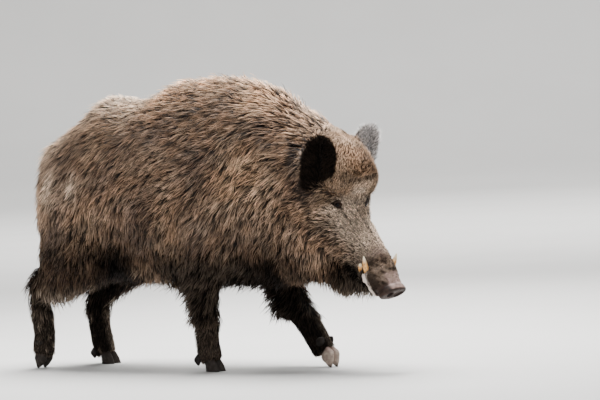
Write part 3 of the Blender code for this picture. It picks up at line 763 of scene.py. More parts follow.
class Parts:
    """Where the parts of the animal lie on its skin: masks from 0 outside a part to 1 inside it."""

    def __init__(self, points, normals, owner, edges):
        self.points, self.normals, self.owner, self.edges = points, normals, owner, edges
        self.ones = np.ones(len(points))
        self.x, self.y, self.z = points.T
        self.behind, self.above, self.left = head_coordinates(points)
        self.deep, self.high, self.wide = disc_coordinates(points)
        self.side = np.abs(self.left)
        self.mottle = waves(points, 0.018, 25)
        self.fine = waves(points, 0.008, 26)
        self.head = self.near(("head", "nose"), 10)
        self.body = 1 - self.head
        self.lower = self.near(LOWER_LEGS, 10)
        self.upper = self.near(UPPER_LEGS, 14)
        self.tail = self.near(("tail",), 3)
        self.ears = self.near(EARS, 2)
        self.pale_ear = self.near(("ear_left",), 2) * ease(normals @ PALE_WAY, -0.25, 0.15)
        self.find_body_parts()
        self.find_head_parts()
        self.find_bare_parts()

    def near(self, nodes, rounds):
        """The skin of some nodes, with a wider edge after more rounds."""
        mask = np.isin(self.owner, [FLESH.index(node) for node in nodes]).astype(float)
        return relax(mask, self.edges, 0.6, rounds)

    def on_body(self, spot):
        return bump_at(self.x, self.z, BODY_SPOTS[spot]) * self.body

    def on_head(self, spot):
        return self.head * bump_at(self.behind, self.above, HEAD_SPOTS[spot])

    def find_body_parts(self):
        x, z, body = self.x, self.z, self.body
        rise = self.normals[:, 2]
        self.hind = ease(x, -0.25, -0.35)
        self.swirl = self.on_body("swirl") * ease(np.abs(rise), 0.7, 0.4)
        # Up-facing back and crest: their paler colour is partly paler hair, partly painted top light
        self.top_lit_back = ease(rise, 0.25, 0.85) * body * ease(z, 0.50, 0.65)
        self.top_lit_crest = ease(rise, 0.50, 0.95) * body * ease(z, 0.50, 0.65)
        self.top_lit_crest *= 1 - ease(x, 0.36, 0.42) * ease(self.side, 0.070, 0.10)
        self.mane = self.top_lit_back * ease(x, -0.30, 0.05)
        self.belly = ease(-rise, 0.25, 0.8) * ease(z, 0.42, 0.34) * body
        self.elbow = np.maximum(self.on_body("elbow"), self.on_body("forearm"))
        self.elbow *= ease(x, 0.26, 0.20) * ease(self.normals[:, 0], 0.6, 0.1)
        self.stifle = np.maximum(self.on_body("stifle"), self.on_body("groin"))
        self.tail_base = self.on_body("tail_base")
        self.hock = ease(x, -0.60, -0.64) * ease(z, 0.40, 0.33) * body
        self.thigh_edge = np.clip(self.on_body("thigh_edge") * 1.3, 0, 1)

    def find_head_parts(self):
        head, side, behind, above = self.head, self.side, self.behind, self.above
        lip = lip_line(behind)
        crease = above - 0.143 - 0.18 * self.left
        self.face = head * ease(behind, 0.332, 0.314)
        self.face *= 1 - ease(0.034 - above, 0.0, 0.05) * ease(behind, 0.12, 0.20)
        self.snout = head * ease(behind, 0.17, 0.10) * ease(above, lip - 0.012, lip + 0.004)
        self.cap = head * ease(crease, -0.012, 0.014) * ease(behind, 0.27, 0.30)
        self.cap *= 1 - ease(side, 0.078, 0.100) * ease(behind, 0.375, 0.40)
        self.temple = head * ease(behind, 0.335, 0.355) * ease(above, 0.045, 0.075)
        self.bridge = head * ease(behind, 0.280, 0.305) * ease(above, 0.065, 0.09)
        self.jowl = head * ease(behind, 0.13, 0.24) * ease(above, 0.05, 0.00)
        self.beard = head * ease(above, -0.030, -0.065) * ease(behind, 0.050, 0.085)
        # Painted shade in the crease under the forehead's upright hair
        self.brow_crease_shade = head * np.exp(-((crease + 0.005) / 0.0090) ** 2)
        self.brow_crease_shade *= ease(side, 0.062, 0.030) * ease(behind, 0.355, 0.335)
        self.scuff = self.on_head("scuff") * np.clip(0.75 + 0.5 * self.fine, 0, 1)

    def find_bare_parts(self):
        """Lip, the openings of the eyes with the ring around each, and the roots of the tusks."""
        gap = outside_line(LIP_BAND, self.behind, self.above)
        self.lip = self.head * (1 - ease(gap, -0.001, 0.0015)) * (self.deep > DISC_RIM)
        self.opening, self.ring, self.tusk = np.zeros((3, len(self.points)))
        half_long, half_high = EYE_OPENING
        for side in SIDES.values():
            eye, _, along, across = eye_frame(side)
            reach = self.points - eye
            near = np.linalg.norm(reach, axis=1) < EYE_REACH
            ahead, raised = reach @ along, reach @ across
            almond = (ahead / half_long) ** 2 + (raised / half_high) ** 2
            socket = ((ahead + 0.004) / 0.0215) ** 2 + ((raised - 0.001) / 0.0120) ** 2
            root = np.linalg.norm(self.points - head_point(0.099, 0.002, 0.056 * side), axis=1)
            self.opening = np.maximum(self.opening, near * (1 - ease(almond, 1.3, 2.3)))
            self.ring = np.maximum(self.ring, near * (1 - ease(socket, 0.7, 1.5)))
            self.tusk = np.maximum(self.tusk, 1 - ease(root, 0.009, 0.014))


def hair_fields(on):
    """Length, lift, cover and gathering of the hair, and the depth of the skin under its tips."""
    coat = bpy.context.scene.boar.coat
    x, z, head = on.x, on.z, on.head
    length = blend(coat.flank * on.ones, (on.mane, coat.mane), (on.tail_base, 0.050), (on.belly, coat.fringe),
                   (on.upper, coat.flank), (on.elbow, coat.fringe), (on.stifle, coat.fringe * 0.85),
                   (on.lower * ease(z, 0.22, 0.16), coat.leg),
                   (on.lower * ease(z, 0.11, 0.06), coat.leg * 0.7), (on.tail, 0.050),
                   (on.tail * ease(z, 0.52, 0.42), 0.075), (head, coat.cheek * 0.85),
                   (on.jowl, coat.cheek), (on.temple, coat.cap * 1.1), (on.face, coat.face),
                   (on.beard, coat.cheek * 1.15), (on.bridge, coat.cap * 0.70), (on.cap, coat.cap),
                   (on.snout, coat.face * 0.62), (on.ears, coat.ear), (on.pale_ear, coat.ear * 0.95))
    lift = blend(0.24 * on.ones, (on.top_lit_crest, 0.36), (on.mane, 0.42), (on.tail_base, 0.6), (on.belly, 0.34),
                 (on.upper, 0.27), (on.lower, 0.22), (on.tail, 0.25), (head, 0.36), (on.jowl, 0.36),
                 (on.face, 0.30), (on.beard, 0.42), (on.bridge, 0.45), (on.cap, 0.90), (on.snout, 0.20),
                 (on.ears, 0.42), (on.elbow, 0.42), (on.stifle, 0.36))
    cover = blend(coat.layers * on.ones, (on.upper, coat.layers * 0.9), (on.lower, 1.35), (on.belly, 2.5),
                  (on.tail, 2.2), (head, 2.7), (on.face, 2.3), (on.cap, 3.0), (on.snout, 0.8), (on.ears, 2.0))
    disc = head * ease(on.deep, 0.032, 0.024)
    hairless = np.maximum.reduce([disc, on.lip * 1.6, on.opening, on.tusk])
    cover *= 1 - 0.6 * on.ring
    cover *= (1 - np.clip(hairless, 0, 1)) * ease(z, 0.022, 0.034)
    clump = blend(on.ones, (on.swirl, 1.25), (on.elbow, 1.25), (head, 0.9), (on.face, 0.30), (on.cap, 0.15),
                  (on.ears, 0.25), (on.lower, 0.6))
    contrast = blend(1.12 * on.ones, (on.swirl, 1.7), (on.face, 1.25), (on.bridge, 1.2), (on.cap, 0.40),
                     (on.ears, 0.8), (on.pale_ear, 0.22), (on.snout, 0.5))
    standing = length * np.sin(lift)
    depth = blend(standing * 0.95, (on.top_lit_crest, standing * 0.90),
                  (on.top_lit_crest * ease(x, 0.34, 0.40), standing * 0.6),
                  (on.top_lit_crest * ease(x, 0.0, -0.2), standing * 0.38), (on.tail_base, 0.010), (on.tail, 0.006),
                  (on.ears, 0.0018), (on.snout, 0.0018), (head * ease(on.deep, 0.034, 0.024), 0.0))
    # Painted shade on the skin under long hair, and the dark skin ring around each eye
    covered = np.maximum(ease(length, 0.010, 0.022) * (1 - 0.8 * on.pale_ear), 0.6 * on.ring)
    return {"hair_length": length, "hair_lift": lift, "hair_cover": cover, "clump": clump,
            "contrast": contrast, "depth": depth, "covered": covered}


def hair_lies(on):
    """The way the hair points along the skin."""
    head, z = on.head, on.z
    down = np.array([0.0, 0.0, -1.0])
    slope = lie_slope(on.x, z) * (1 - 0.75 * ease(on.normals[:, 2], 0.35, 0.95))
    lies = -np.cos(slope)[:, None] * np.array([1.0, 0, 0]) + np.sin(slope)[:, None] * down
    steep = np.radians(26 + 40 * ease(on.above, -0.03, -0.11))[:, None]
    level = -FORWARD * np.array([1, 1, 0.15])
    cheeks = np.cos(steep) * level / np.linalg.norm(level) + np.sin(steep) * down
    faced = -FORWARD + 0.30 * np.sign(on.left)[:, None] * LEFT - 0.12 * UP
    left_fore = on.near(("foreleg_left_lower",), 8) * ease(z, 0.22, 0.16)
    lies = turned_lies(lies, (head, cheeks), (on.face, faced), (on.beard, down - FORWARD * 0.3),
                       (on.bridge, UP - FORWARD * 0.2), (on.cap, UP * 0.9 - FORWARD * 0.5),
                       (on.upper, (-0.45, 0.0, -1.0)), (on.lower, (-0.12, 0.0, -1.0)),
                       (on.elbow, (-1.0, 0.0, -0.85)), (left_fore, (0.45, 0.0, -1.0)),
                       (on.tail, (0.1, 0.0, -1.0)))
    for node in EARS:
        low, tip = ear_line(node)
        rise = tip - low
        share = np.clip(((on.points - low) @ rise) / (rise @ rise), 0, 0.8)[:, None]
        fan = rise / np.linalg.norm(rise) + unit(on.points - low - rise * share) * 0.8
        lies = turned_lies(lies, (on.near((node,), 2), fan))
    return lies


def dark_mask(on):
    """Legs, belly, throat, muzzle and ears, the rings around the eyes and the lines on the face, with painted
    shade on down-facing and inward-facing sides, in the hollow before the hind legs and in the brow's crease.
    """
    x, z, head, body, behind, above = on.x, on.z, on.head, on.body, on.behind, on.above
    line_height = 0.372 + 0.02 * waves(on.points, 0.06, 24)
    fore = ease(z, line_height + 0.030, line_height - 0.030) * ease(x, -0.10, -0.03) * body
    # Sides facing inwards between the legs: partly dark hair, partly painted shade
    inner = ease(-on.normals[:, 1] * np.sign(on.y), 0.0, 0.5) * ease(z, 0.44, 0.36) * body
    # Down-facing surfaces low on the body: partly dark belly hair, partly painted shade
    shaded_underside = ease(-on.normals[:, 2], 0.45, 0.85) * ease(z, 0.40, 0.33) * body
    streaked = np.clip(0.52 + 0.24 * on.mottle + 0.34 * on.fine, 0, 0.95)
    dark = blend(0.0 * on.ones, (ease(z, 0.54, 0.36) * body, 0.66), (on.on_body("fold"), 0.55),
                 (on.on_body("withers"), 0.26), (shaded_underside, 0.9), (fore, 0.98),
                 (on.upper * (1 - on.hind), ease(z, 0.42, 0.36) * 0.93), (on.lower, 0.84),
                 (on.lower * on.hind, 0.72), (on.upper * on.hind * ease(z, 0.54, 0.36), 0.74),
                 # painted shade in the hollow before the hind leg
                 (on.on_body("shaded_hollow") * 1.4, 1.0), (inner, 0.98), (on.thigh_edge, 0.60), (on.hock, 0.90),
                 (on.tail * ease(z, 0.52, 0.42), 0.85),
                 (head * ease(above, -0.012, -0.045) * ease(behind, 0.205, 0.155), 0.985),
                 (on.beard * ease(behind, 0.26, 0.19), 0.93), (head * ease(above, -0.10, -0.16), 0.75),
                 (on.snout, streaked), (on.on_head("over_tusk"), 0.88),
                 (head * ease(above, 0.020, -0.006) * ease(behind, 0.125, 0.100), 0.86),
                 (on.on_head("beside_disc"), 0.20), (on.temple, 0.36),
                 (on.bridge * ease(on.side, 0.026, 0.055), 0.30), (on.ring, 0.985),
                 (on.on_head("over_eye"), 0.82), (on.on_head("behind_eye"), 0.80),
                 # painted shade in the brow's crease
                 (on.brow_crease_shade * np.clip(0.9 + 0.3 * on.fine, 0, 1), 0.74), (on.ears, 0.965), (on.pale_ear, 0.06))
    tear_line = np.interp(behind, (0.215, 0.305), (0.037, 0.047))
    tear = head * np.exp(-((on.side - tear_line) / 0.0030) ** 2)
    tear *= ease(above, 0.030, 0.036) * ease(behind, 0.195, 0.215) * ease(behind, 0.310, 0.302)
    return np.maximum(dark, tear * np.clip(0.50 + 0.20 * on.fine, 0, 1))


def tan_mask(on):
    """The back line, forehead, temples and shoulders; on the up-facing back and crest partly paler hair and
    partly painted top light.
    """
    tan = blend(0.22 * on.ones, (on.top_lit_back, 0.26), (on.top_lit_crest, 0.90), (on.head, 0.38), (on.jowl, 0.30),
                (on.cap, 0.92), (on.temple, 0.86), (on.thigh_edge, 0.5), (on.face, 0.50), (on.bridge, 0.60),
                (on.snout, 0.16))
    tan += 0.34 * on.on_body("shoulder")
    return np.clip(tan + 0.14 * waves(on.points, 0.10, 31) + 0.10 * on.mottle, 0, 1)


def grey_mask(on, dark):
    """The grizzled face, the croup, pale patches, and mud on the right side of the rump; on the croup's
    up-facing crest partly pale hair and partly painted top light.
    """
    x, side = on.x, on.side
    patches = ease(waves(on.points, 0.055, 21), 0.5, 1.5)
    grey = blend(0.06 * on.ones, (on.on_body("rump"), 0.16), (on.top_lit_crest * ease(x, -0.05, -0.25), 0.80),
                 (on.top_lit_back * ease(x, -0.45, -0.60), 0.6), (on.tail_base, 0.9), (on.face, 0.95),
                 (on.snout, 0.20), (on.bridge, 0.25), (on.bridge * ease(side, 0.052, 0.026), 0.72),
                 (on.temple, 0.10), (on.cap, 0.05))
    grey = np.clip(grey * (0.85 + 0.25 * patches) + 0.14 * patches * (1 - dark), 0, 1)
    mud = np.maximum(on.on_body("mud_behind"), on.on_body("mud_ahead")) * ease(on.y, 0.02, -0.04)
    fore = on.upper * (1 - on.hind) * ease(on.z, 0.40, 0.34)
    blaze = on.bridge * ease(side, 0.040, 0.020) * ease(on.above, 0.125, 0.10)
    return np.maximum.reduce([grey, on.on_head("pale_cheek") * 0.97, mud * (0.95 + 0.2 * on.mottle),
                              np.maximum(on.lower, fore) * 0.60, on.on_head("wart"), blaze * 0.95])


def coat_fields(on):
    """What grows where: lengths, lift, lie and colour masks of the coat at every point of the skin."""
    head, deep = on.head, on.deep
    dark = dark_mask(on)
    muddy_legs = np.maximum(on.lower * on.hind * ease(on.normals[:, 0], 0.6, 0.1), on.hock)
    flecks = ease(waves(on.points, 0.016, 23), 0.8, 1.5) * muddy_legs
    pink = head * ease(on.above, 0.016, 0.028) * ease(on.behind, 0.066, 0.052) * ease(deep, 0.004, 0.009)
    pink *= ease(on.side, 0.036, 0.024) * np.clip(0.78 + 0.22 * on.fine, 0, 1)
    # Nostrils and the mouth's slit: painted shade, near black, inside these sunk hollows
    gap = outside_line(MOUTH_SLIT, on.behind, on.above)
    slit = head * np.exp(-(gap / 0.0022) ** 2) * (deep > DISC_RIM)
    hole = (deep < 0.020) * head * (1 - ease(nostril(on.high, np.abs(on.wide)), 0.75, 1.15))
    masks = {
        "dark": dark * (1 - flecks * 0.55) * (1 - 0.6 * on.scuff), "tan": tan_mask(on), "cool": on.pale_ear,
        "bare": head * ease(deep, 0.040, 0.026) + on.opening, "pink": np.maximum(pink, on.scuff * 0.60),
        "lip": on.lip, "pit": hole + slit * 0.9,
    }
    masks = {name: np.clip(values, 0, 1) for name, values in masks.items()}
    masks["grey"] = np.maximum(grey_mask(on, dark), flecks * 0.9)
    return {**hair_fields(on), **masks, "lie": hair_lies(on)}


def make_skin():
    skin = thinned(merged_flesh(), near_head)
    for wanted in (near_front, near_face, near_eyes):
        refine(skin, wanted)
    points = mesh_points(skin)
    edges = mesh_edges(skin)
    owner = nearest_nodes(points)
    soft = np.isin(owner, [FLESH.index(node) for node in TRUNK + UPPER_LEGS])
    points = relax(points, edges, np.where(soft, 0.5, 0.0), 6)
    points = relax(points, edges, 0.45, 4)
    points = shrink_ears(snap_disc(points), owner)
    set_points(skin, points)
    normals = relax(mesh_normals(skin), edges, 0.5, 6)
    fields = coat_fields(Parts(points, unit(normals), owner, edges))
    depth = relax(fields.pop("depth"), edges, 0.5, 10)
    for _ in range(SINK_STEPS):
        points = points - unit(relax(mesh_normals(skin), edges, 0.5, 3)) * (depth / SINK_STEPS)[:, None]
        points = relax(points, edges, np.clip(depth / 0.02, 0, 1) * 0.4, 2)
        set_points(skin, points)
    points = shape_face(points, mesh_normals(skin))
    points = shape_lids(points)
    set_points(skin, points)
    fields["owner"] = owner.astype(float)
    for name, values in fields.items():
        set_attribute(skin, name, values)
    piece = link("boar_skin", skin, skin_material())
    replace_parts(piece, *FLESH)
    unwrap(piece)
    return piece


def unwrap(piece):
    """Lays the skin out flat, in a map of its own shape."""
    piece.data.uv_layers.new(name="OFBake")
    bpy.ops.object.select_all(action="DESELECT")
    piece.select_set(True)
    bpy.context.view_layer.objects.active = piece
    bpy.ops.object.mode_set(mode="EDIT")
    bpy.ops.mesh.select_all(action="SELECT")
    bpy.ops.uv.smart_project(angle_limit=math.radians(66), island_margin=0.001)
    bpy.ops.object.mode_set(mode="OBJECT")


# Coat

MASKS = ("dark", "tan", "grey", "cool")
TUFT_SHARE = 0.55       # share of its length times its width that a tuft covers
USUAL_LAYERS = 3.0      # layers of tufts that the number of locks is reckoned from
LOCK_STRETCH = 0.86     # share of a distance along the lie that is left out in choosing a lock
LOCKS_TRIED = 5         # locks around a tuft that it chooses from
ROOT_DEPTH = 0.0012     # how far tufts start below the skin
LONG_HAIR = 0.058       # from this length on, a tuft has one more ring
LONG_RINGS, SHORT_RINGS = (0.0, 0.36, 0.72, 1.0), (0.0, 0.5, 1.0)
PATCH = 0.003           # size of a tuft's patch on the map


def without(rows, direction, share=1.0):
    """Rows with their part along a direction taken out, or a share of it."""
    return rows - direction * (rows * direction).sum(axis=1, keepdims=True) * share


def spread_roots(mesh):
    """Roots of the tufts, spread over the skin as thickly as its coat wants."""
    chance = np.random.default_rng(bpy.context.scene.boar.coat.seed)
    mesh.calc_loop_triangles()
    corners = read(mesh.loop_triangles, "vertices", 3, np.int64)
    loops = read(mesh.loop_triangles, "loops", 3, np.int64)
    points = mesh_points(mesh)
    a, b, c = (points[corners[:, k]] for k in range(3))
    area = np.linalg.norm(np.cross(b - a, c - a), axis=1) / 2
    length = get_attribute(mesh, "hair_length")
    thick = get_attribute(mesh, "hair_cover") / (length * tuft_width(length) * TUFT_SHARE)
    total = np.cumsum(area * thick[corners].mean(axis=1))
    picks = np.arange(int(total[-1])) + chance.random(int(total[-1]))
    chosen = np.searchsorted(total, np.minimum(picks, total[-1] * 0.999999))
    mix = chance.random((len(chosen), 2))
    over = mix.sum(axis=1) > 1
    mix[over] = 1 - mix[over]
    mix = np.column_stack([1 - mix.sum(axis=1), mix])
    corners, loops = corners[chosen], loops[chosen]

    def at(rows):
        return (rows * (mix[:, :, None] if rows.ndim == 3 else mix)).sum(axis=1)

    names = MASKS + ("hair_length", "hair_lift", "clump", "contrast", "lie")
    roots = {name: at(get_attribute(mesh, name)[corners]) for name in names}
    roots["place"] = at(points[corners])
    roots["normal"] = unit(at(mesh_normals(mesh)[corners]))
    roots["uv"] = at(read(mesh.uv_layers["OFBake"].data, "uv", 2)[loops])
    roots["owner"] = get_attribute(mesh, "owner")[corners[:, 0]].astype(int)
    return roots, chance


def tuft_width(length):
    """Usual width of a tuft of that length."""
    return np.clip(length * 0.062, 0.0011, 0.0027)


def lock_tufts(roots, chance):
    """Gathers the tufts in locks: each gets a lie, a way from its lock's middle, and its lock's habits."""
    coat = bpy.context.scene.boar.coat
    place, normal, clump, length = roots["place"], roots["normal"], roots["clump"], roots["hair_length"]
    spacing = coat.lock * np.clip(length / coat.flank, 0.42, 1.3)
    members = spacing ** 2 / (length * tuft_width(length) * TUFT_SHARE / USUAL_LAYERS)
    centres = place[chance.random(len(place)) < 1 / np.maximum(members, 2.0)]
    tree = KDTree(len(centres))
    for number, centre in enumerate(centres):
        tree.insert(centre, number)
    tree.balance()
    lie = unit(without(roots["lie"], normal))
    around = np.array([[found[1] for found in tree.find_n(point, LOCKS_TRIED)] for point in place])
    apart = centres[around] - place[:, None, :]
    along = (apart * lie[:, None, :]).sum(axis=2)
    stretched = (apart ** 2).sum(axis=2) - LOCK_STRETCH * along ** 2
    lock = around[np.arange(len(place)), stretched.argmin(axis=1)]
    count = len(centres)
    own = {
        "turn": chance.normal(0, 0.16, count), "length": chance.uniform(0.82, 1.18, count),
        "lift": chance.uniform(0.66, 1.26, count), "tone": chance.normal(0, 0.42, count),
        "phase": chance.uniform(0, 2 * math.pi, count), "wave": chance.uniform(0.4, 1.0, count),
        "pull": chance.uniform(0.50, 0.90, count),
    }
    shared = {name: values[lock] for name, values in own.items()}
    shared["tone"] = shared["tone"] * roots["contrast"] + 0.10 * waves(place, 0.035, 9) + 0.62 * roots["grey"]
    shared["pull"] = np.clip(shared["pull"] * clump, 0, 0.94)
    turn = shared["turn"] * clump + chance.normal(0, 0.09, len(place))
    turn += (0.16 * waves(place, 0.05, 7) + 0.12 * waves(place, 0.022, 8)) * clump
    lie = lie * np.cos(turn)[:, None] + np.cross(normal, lie) * np.sin(turn)[:, None]
    offset = without(place - centres[lock], normal)
    return lie, without(offset, roots["lie"], 0.75), shared


def grow(roots, chance):
    """The tufts with their lines and half widths, in sets: the shares of a set's rings, and its rows."""
    lie, offset, shared = lock_tufts(roots, chance)
    across = np.cross(roots["normal"], lie)
    count = len(lie)
    length = roots["hair_length"] * shared["length"] * chance.uniform(0.75, 1.15, count)
    lift = np.clip(roots["hair_lift"] * shared["lift"] + chance.normal(0, 0.04, count), 0.05, 1.35)
    width = tuft_width(roots["hair_length"]) * chance.uniform(0.7, 1.25, count)
    long = roots["hair_length"] > LONG_HAIR
    sets = []
    for chosen, shares in ((long, LONG_RINGS), (~long, SHORT_RINGS)):
        pick = np.nonzero(chosen)[0]

        def each(values):
            """One value or vector for each tuft of the set, to reckon with its rings."""
            return values[pick][:, None, None] if values.ndim == 1 else values[pick][:, None, :]

        t = np.array(shares)[None, :, None]
        size = each(length)
        lines = each(roots["place"]) - each(roots["normal"]) * ROOT_DEPTH
        lines = lines + each(lie) * size * each(np.cos(lift)) * t
        lines = lines + each(roots["normal"]) * size * each(np.sin(lift)) * (1 - (1 - t) ** 1.8)
        sway = np.sin(t * 4.2 + each(shared["phase"])) * each(shared["wave"])
        lines = lines + each(across) * size * 0.075 * sway * t
        lines = lines - each(offset) * (each(shared["pull"]) * t ** 1.2)
        lines[:, :, 2] -= 0.08 * (size * t ** 2)[:, :, 0]
        profile = np.interp(shares, (0, 0.3, 0.75, 1), (0.75, 1.0, 0.62, 0.0))
        tone = shared["tone"][pick] + chance.normal(0, 1, len(pick)) * (0.36 * roots["contrast"][pick])
        rows = {"pick": pick, "lines": lines, "across": across[pick], "up": roots["normal"][pick],
                "half": width[pick][:, None] / 2 * profile, "tone": np.clip(tone, -0.85, 1.2)}
        sets.append((np.array(shares), rows))
    return sets


def tuft_faces(rings):
    """Corners of the faces of one closed tuft: its root, three sides from ring to ring, and its tip."""
    sides = ((0, 1), (1, 2), (2, 0))
    faces = [(0, 2, 1)]
    for low in range(0, rings * 3 - 3, 3):
        faces += [(low + here, low + there, low + 3 + there, low + 3 + here) for here, there in sides]
    low = rings * 3 - 3
    return faces + [(low + here, low + there, low + 3) for here, there in sides]


def tuft_mesh(name, sets, roots):
    """Closed three-sided tufts, with their shares, tones and masks, each on its own patch of the map."""
    points, uvs, corners, sizes = [], [], [], []
    fields = {word: [] for word in ("along", "tone") + MASKS}
    start = 0
    for shares, rows in sets:
        pick, lines = rows["pick"], rows["lines"]
        count, rings = len(lines), len(shares) - 1
        size = rings * 3 + 1
        half = rows["half"][:, :rings, None]
        side = rows["across"][:, None, :] * half
        up = rows["up"][:, None, :] * half * 0.9
        middle = lines[:, :rings]
        body = np.stack([middle - side, middle + side, middle + up], axis=2).reshape(count, rings * 3, 3)
        points.append(np.concatenate([body, lines[:, rings:]], axis=1).reshape(-1, 3))
        along = np.append(np.repeat(shares[:rings], 3), 1.0)
        fields["along"].append(np.tile(along, count))
        fields["tone"].append(np.repeat(rows["tone"], size))
        for word in MASKS:
            fields[word].append(np.repeat(roots[word][pick], size))
        spot = np.append(np.tile([0.0, 1.0, 0.5], rings), 0.5)
        patch = (np.column_stack([spot, along]) - 0.5) * PATCH
        uvs.append((roots["uv"][pick][:, None, :] + patch[None]).reshape(-1, 2))
        faces = tuft_faces(rings)
        corners.append((start + np.arange(count)[:, None] * size + np.concatenate(faces)).ravel())
        sizes.append(np.tile([len(face) for face in faces], count))
        start += count * size
    points, uvs, corners, sizes = (np.concatenate(rows) for rows in (points, uvs, corners, sizes))
    mesh = bpy.data.meshes.new(name)
    mesh.vertices.add(len(points))
    mesh.vertices.foreach_set("co", points.astype(np.float32).ravel())
    mesh.loops.add(len(corners))
    mesh.loops.foreach_set("vertex_index", corners.astype(np.int32))
    mesh.polygons.add(len(sizes))
    mesh.polygons.foreach_set("loop_start", (np.cumsum(sizes) - sizes).astype(np.int32))
    mesh.update(calc_edges=True)
    layer = mesh.uv_layers.new(name="OFBake")
    layer.data.foreach_set("uv", uvs[corners].astype(np.float32).ravel())
    for word, values in fields.items():
        set_attribute(mesh, word, np.concatenate(values))
    return mesh


def coat_pieces(roots):
    """Which tufts belong to which piece of the coat."""
    names = np.array(FLESH)[roots["owner"]]
    behind, _, left = head_coordinates(roots["place"])
    front = behind < EYE_PLACE[0] + 0.007
    pieces = {}
    for side, sign in SIDES.items():
        head = np.isin(names, ("head", "nose")) & (left * sign >= 0)
        for node in TRUNK:
            pieces["coat_%s_%s" % (node, side)] = (names == node) & (roots["place"][:, 1] * sign >= 0)
        pieces["coat_face_" + side] = head & front
        pieces["coat_head_" + side] = head & ~front
        pieces["coat_ear_" + side] = names == "ear_" + side
        for pair in ("foreleg", "hindleg"):
            for part in ("upper", "lower"):
                node = "%s_%s_%s" % (pair, side, part)
                pieces["coat_" + node] = names == node
    pieces["coat_tail"] = names == "tail"
    return pieces


def make_coat(skin):
    roots, chance = spread_roots(skin.data)
    sets = grow(roots, chance)
    material = coat_material()
    for name, chosen in coat_pieces(roots).items():
        if chosen.any():
            parts = []
            for shares, rows in sets:
                keep = chosen[rows["pick"]]
                parts.append((shares, {word: values[keep] for word, values in rows.items()}))
            link(name, tuft_mesh(name, parts, roots), material)


# Eyes, tusks and claws

def make_eye(name, side):
    """A round eyeball with a bulging cornea, drawn towards the lids."""
    eye, out, along, across = eye_frame(side)
    turn = Matrix((along, across, out)).transposed().to_4x4()
    shape = bmesh.new()
    bmesh.ops.create_uvsphere(shape, u_segments=48, v_segments=32, radius=EYE_RADIUS)
    polar = []
    for vertex in shape.verts:
        vertex.co *= 1 + 0.05 * max(0.0, vertex.co.z / EYE_RADIUS - 0.80) / 0.20
        polar.append(math.degrees(math.acos(max(-1, min(1, vertex.co.normalized().z)))))
    bmesh.ops.transform(shape, matrix=Matrix.Translation(eye) @ turn, verts=shape.verts)
    bmesh.ops.recalc_face_normals(shape, faces=shape.faces)
    mesh = mesh_of(shape, name)
    set_attribute(mesh, "from_axis", np.array(polar))
    return mesh


def eye_material():
    colours = bpy.context.scene.boar.colours
    made, nodes, shader = new_material("boar eye")
    angle = nodes.attribute("from_axis")
    fibres = nodes.noise(nodes.place(), 900.0)
    iris = nodes.mix(fibres, rgba(colours.iris), (0.009, 0.005, 0.003, 1))
    pupil = nodes.mix(nodes.ramp(angle, 24, 28), (0.001, 0.001, 0.001, 1), iris)
    colour = nodes.mix(nodes.ramp(angle, 50, 60), pupil, (0.020, 0.012, 0.009, 1))
    nodes.shade(shader, colour, 0.08, 0.10)
    return made


def rounded(node):
    """A smooth copy of a node's mesh: welded, divided and relaxed, its flat sole kept on the floor."""
    shape = bmesh.new()
    shape.from_mesh(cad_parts[node].data)
    bmesh.ops.remove_doubles(shape, verts=shape.verts, dist=WELD)
    for _ in range(2):
        bmesh.ops.triangulate(shape, faces=shape.faces)
        bmesh.ops.subdivide_edges(shape, edges=shape.edges, cuts=1, use_grid_fill=True)
    bmesh.ops.triangulate(shape, faces=shape.faces)
    mesh = mesh_of(shape, node)
    before = mesh_points(mesh)
    sole = before[:, 2] < 0.0012
    points = relax(before, mesh_edges(mesh), np.where(sole, 0.0, 0.5), 6)
    outward = unit(before - before.mean(axis=0))
    shrunk = ((before - points) * outward).sum(axis=1, keepdims=True)
    points += outward * shrunk.clip(0, 0.0012) * 0.6
    points[sole] = before[sole]
    set_points(mesh, points)
    return mesh


def share_up(heights):
    """0 at the lowest of the heights, 1 at the highest."""
    return (heights - heights.min()) / np.ptp(heights)


def ivory_material():
    colours = bpy.context.scene.boar.colours
    made, nodes, shader = new_material("boar ivory")
    place = nodes.place()
    share = nodes.attribute("along")
    stain = nodes.ramp(nodes.noise(place, 160.0, 4.0), 0.35, 0.65)
    body = nodes.mix(stain, rgba(colours.ivory), (0.46, 0.18, 0.035, 1))
    rooted = nodes.mix(nodes.ramp(share, 0.12, 0.42), (0.13, 0.06, 0.025, 1), body)
    tipped = nodes.mix(nodes.ramp(share, 0.66, 0.95), rooted, (0.82, 0.70, 0.50, 1))
    nodes.shade(shader, tipped, 0.36)
    nodes.bump(shader, nodes.noise(place, 500.0), 0.35, 0.0008)
    return made


def horn_material():
    """Claws dark, paler where worn, with rings across and a pinkish band under the hair."""
    colours = bpy.context.scene.boar.colours
    made, nodes, shader = new_material("boar horn")
    place = nodes.place()
    height = nodes.attribute("height")
    rings = nodes.add("ShaderNodeTexWave", wave_type="BANDS", bands_direction="Z")
    nodes.fill(rings, Vector=place, Scale=75.0, Distortion=3.0, Detail=2.0)
    mud = nodes.ramp(nodes.noise(place, 90.0, 4.0), 0.4, 0.7)
    pale = nodes.mix(mud, (0.26, 0.20, 0.165, 1), (0.40, 0.33, 0.27, 1))
    pale = nodes.mix(nodes.ramp(height, 0.72, 1.0), pale, (0.20, 0.13, 0.11, 1))
    plain = nodes.mix(nodes.math("MULTIPLY", mud, 0.5), rgba(colours.horn), (0.034, 0.027, 0.023, 1))
    body = nodes.mix(nodes.attribute("worn"), plain, pale)
    body = nodes.mix(nodes.ramp(height, 0.0, 0.22), (0.030, 0.024, 0.020, 1), body)
    nodes.shade(shader, body, 0.6, 0.14)
    nodes.bump(shader, rings.outputs["Fac"], 0.35, 0.0008)
    return made


# Stage

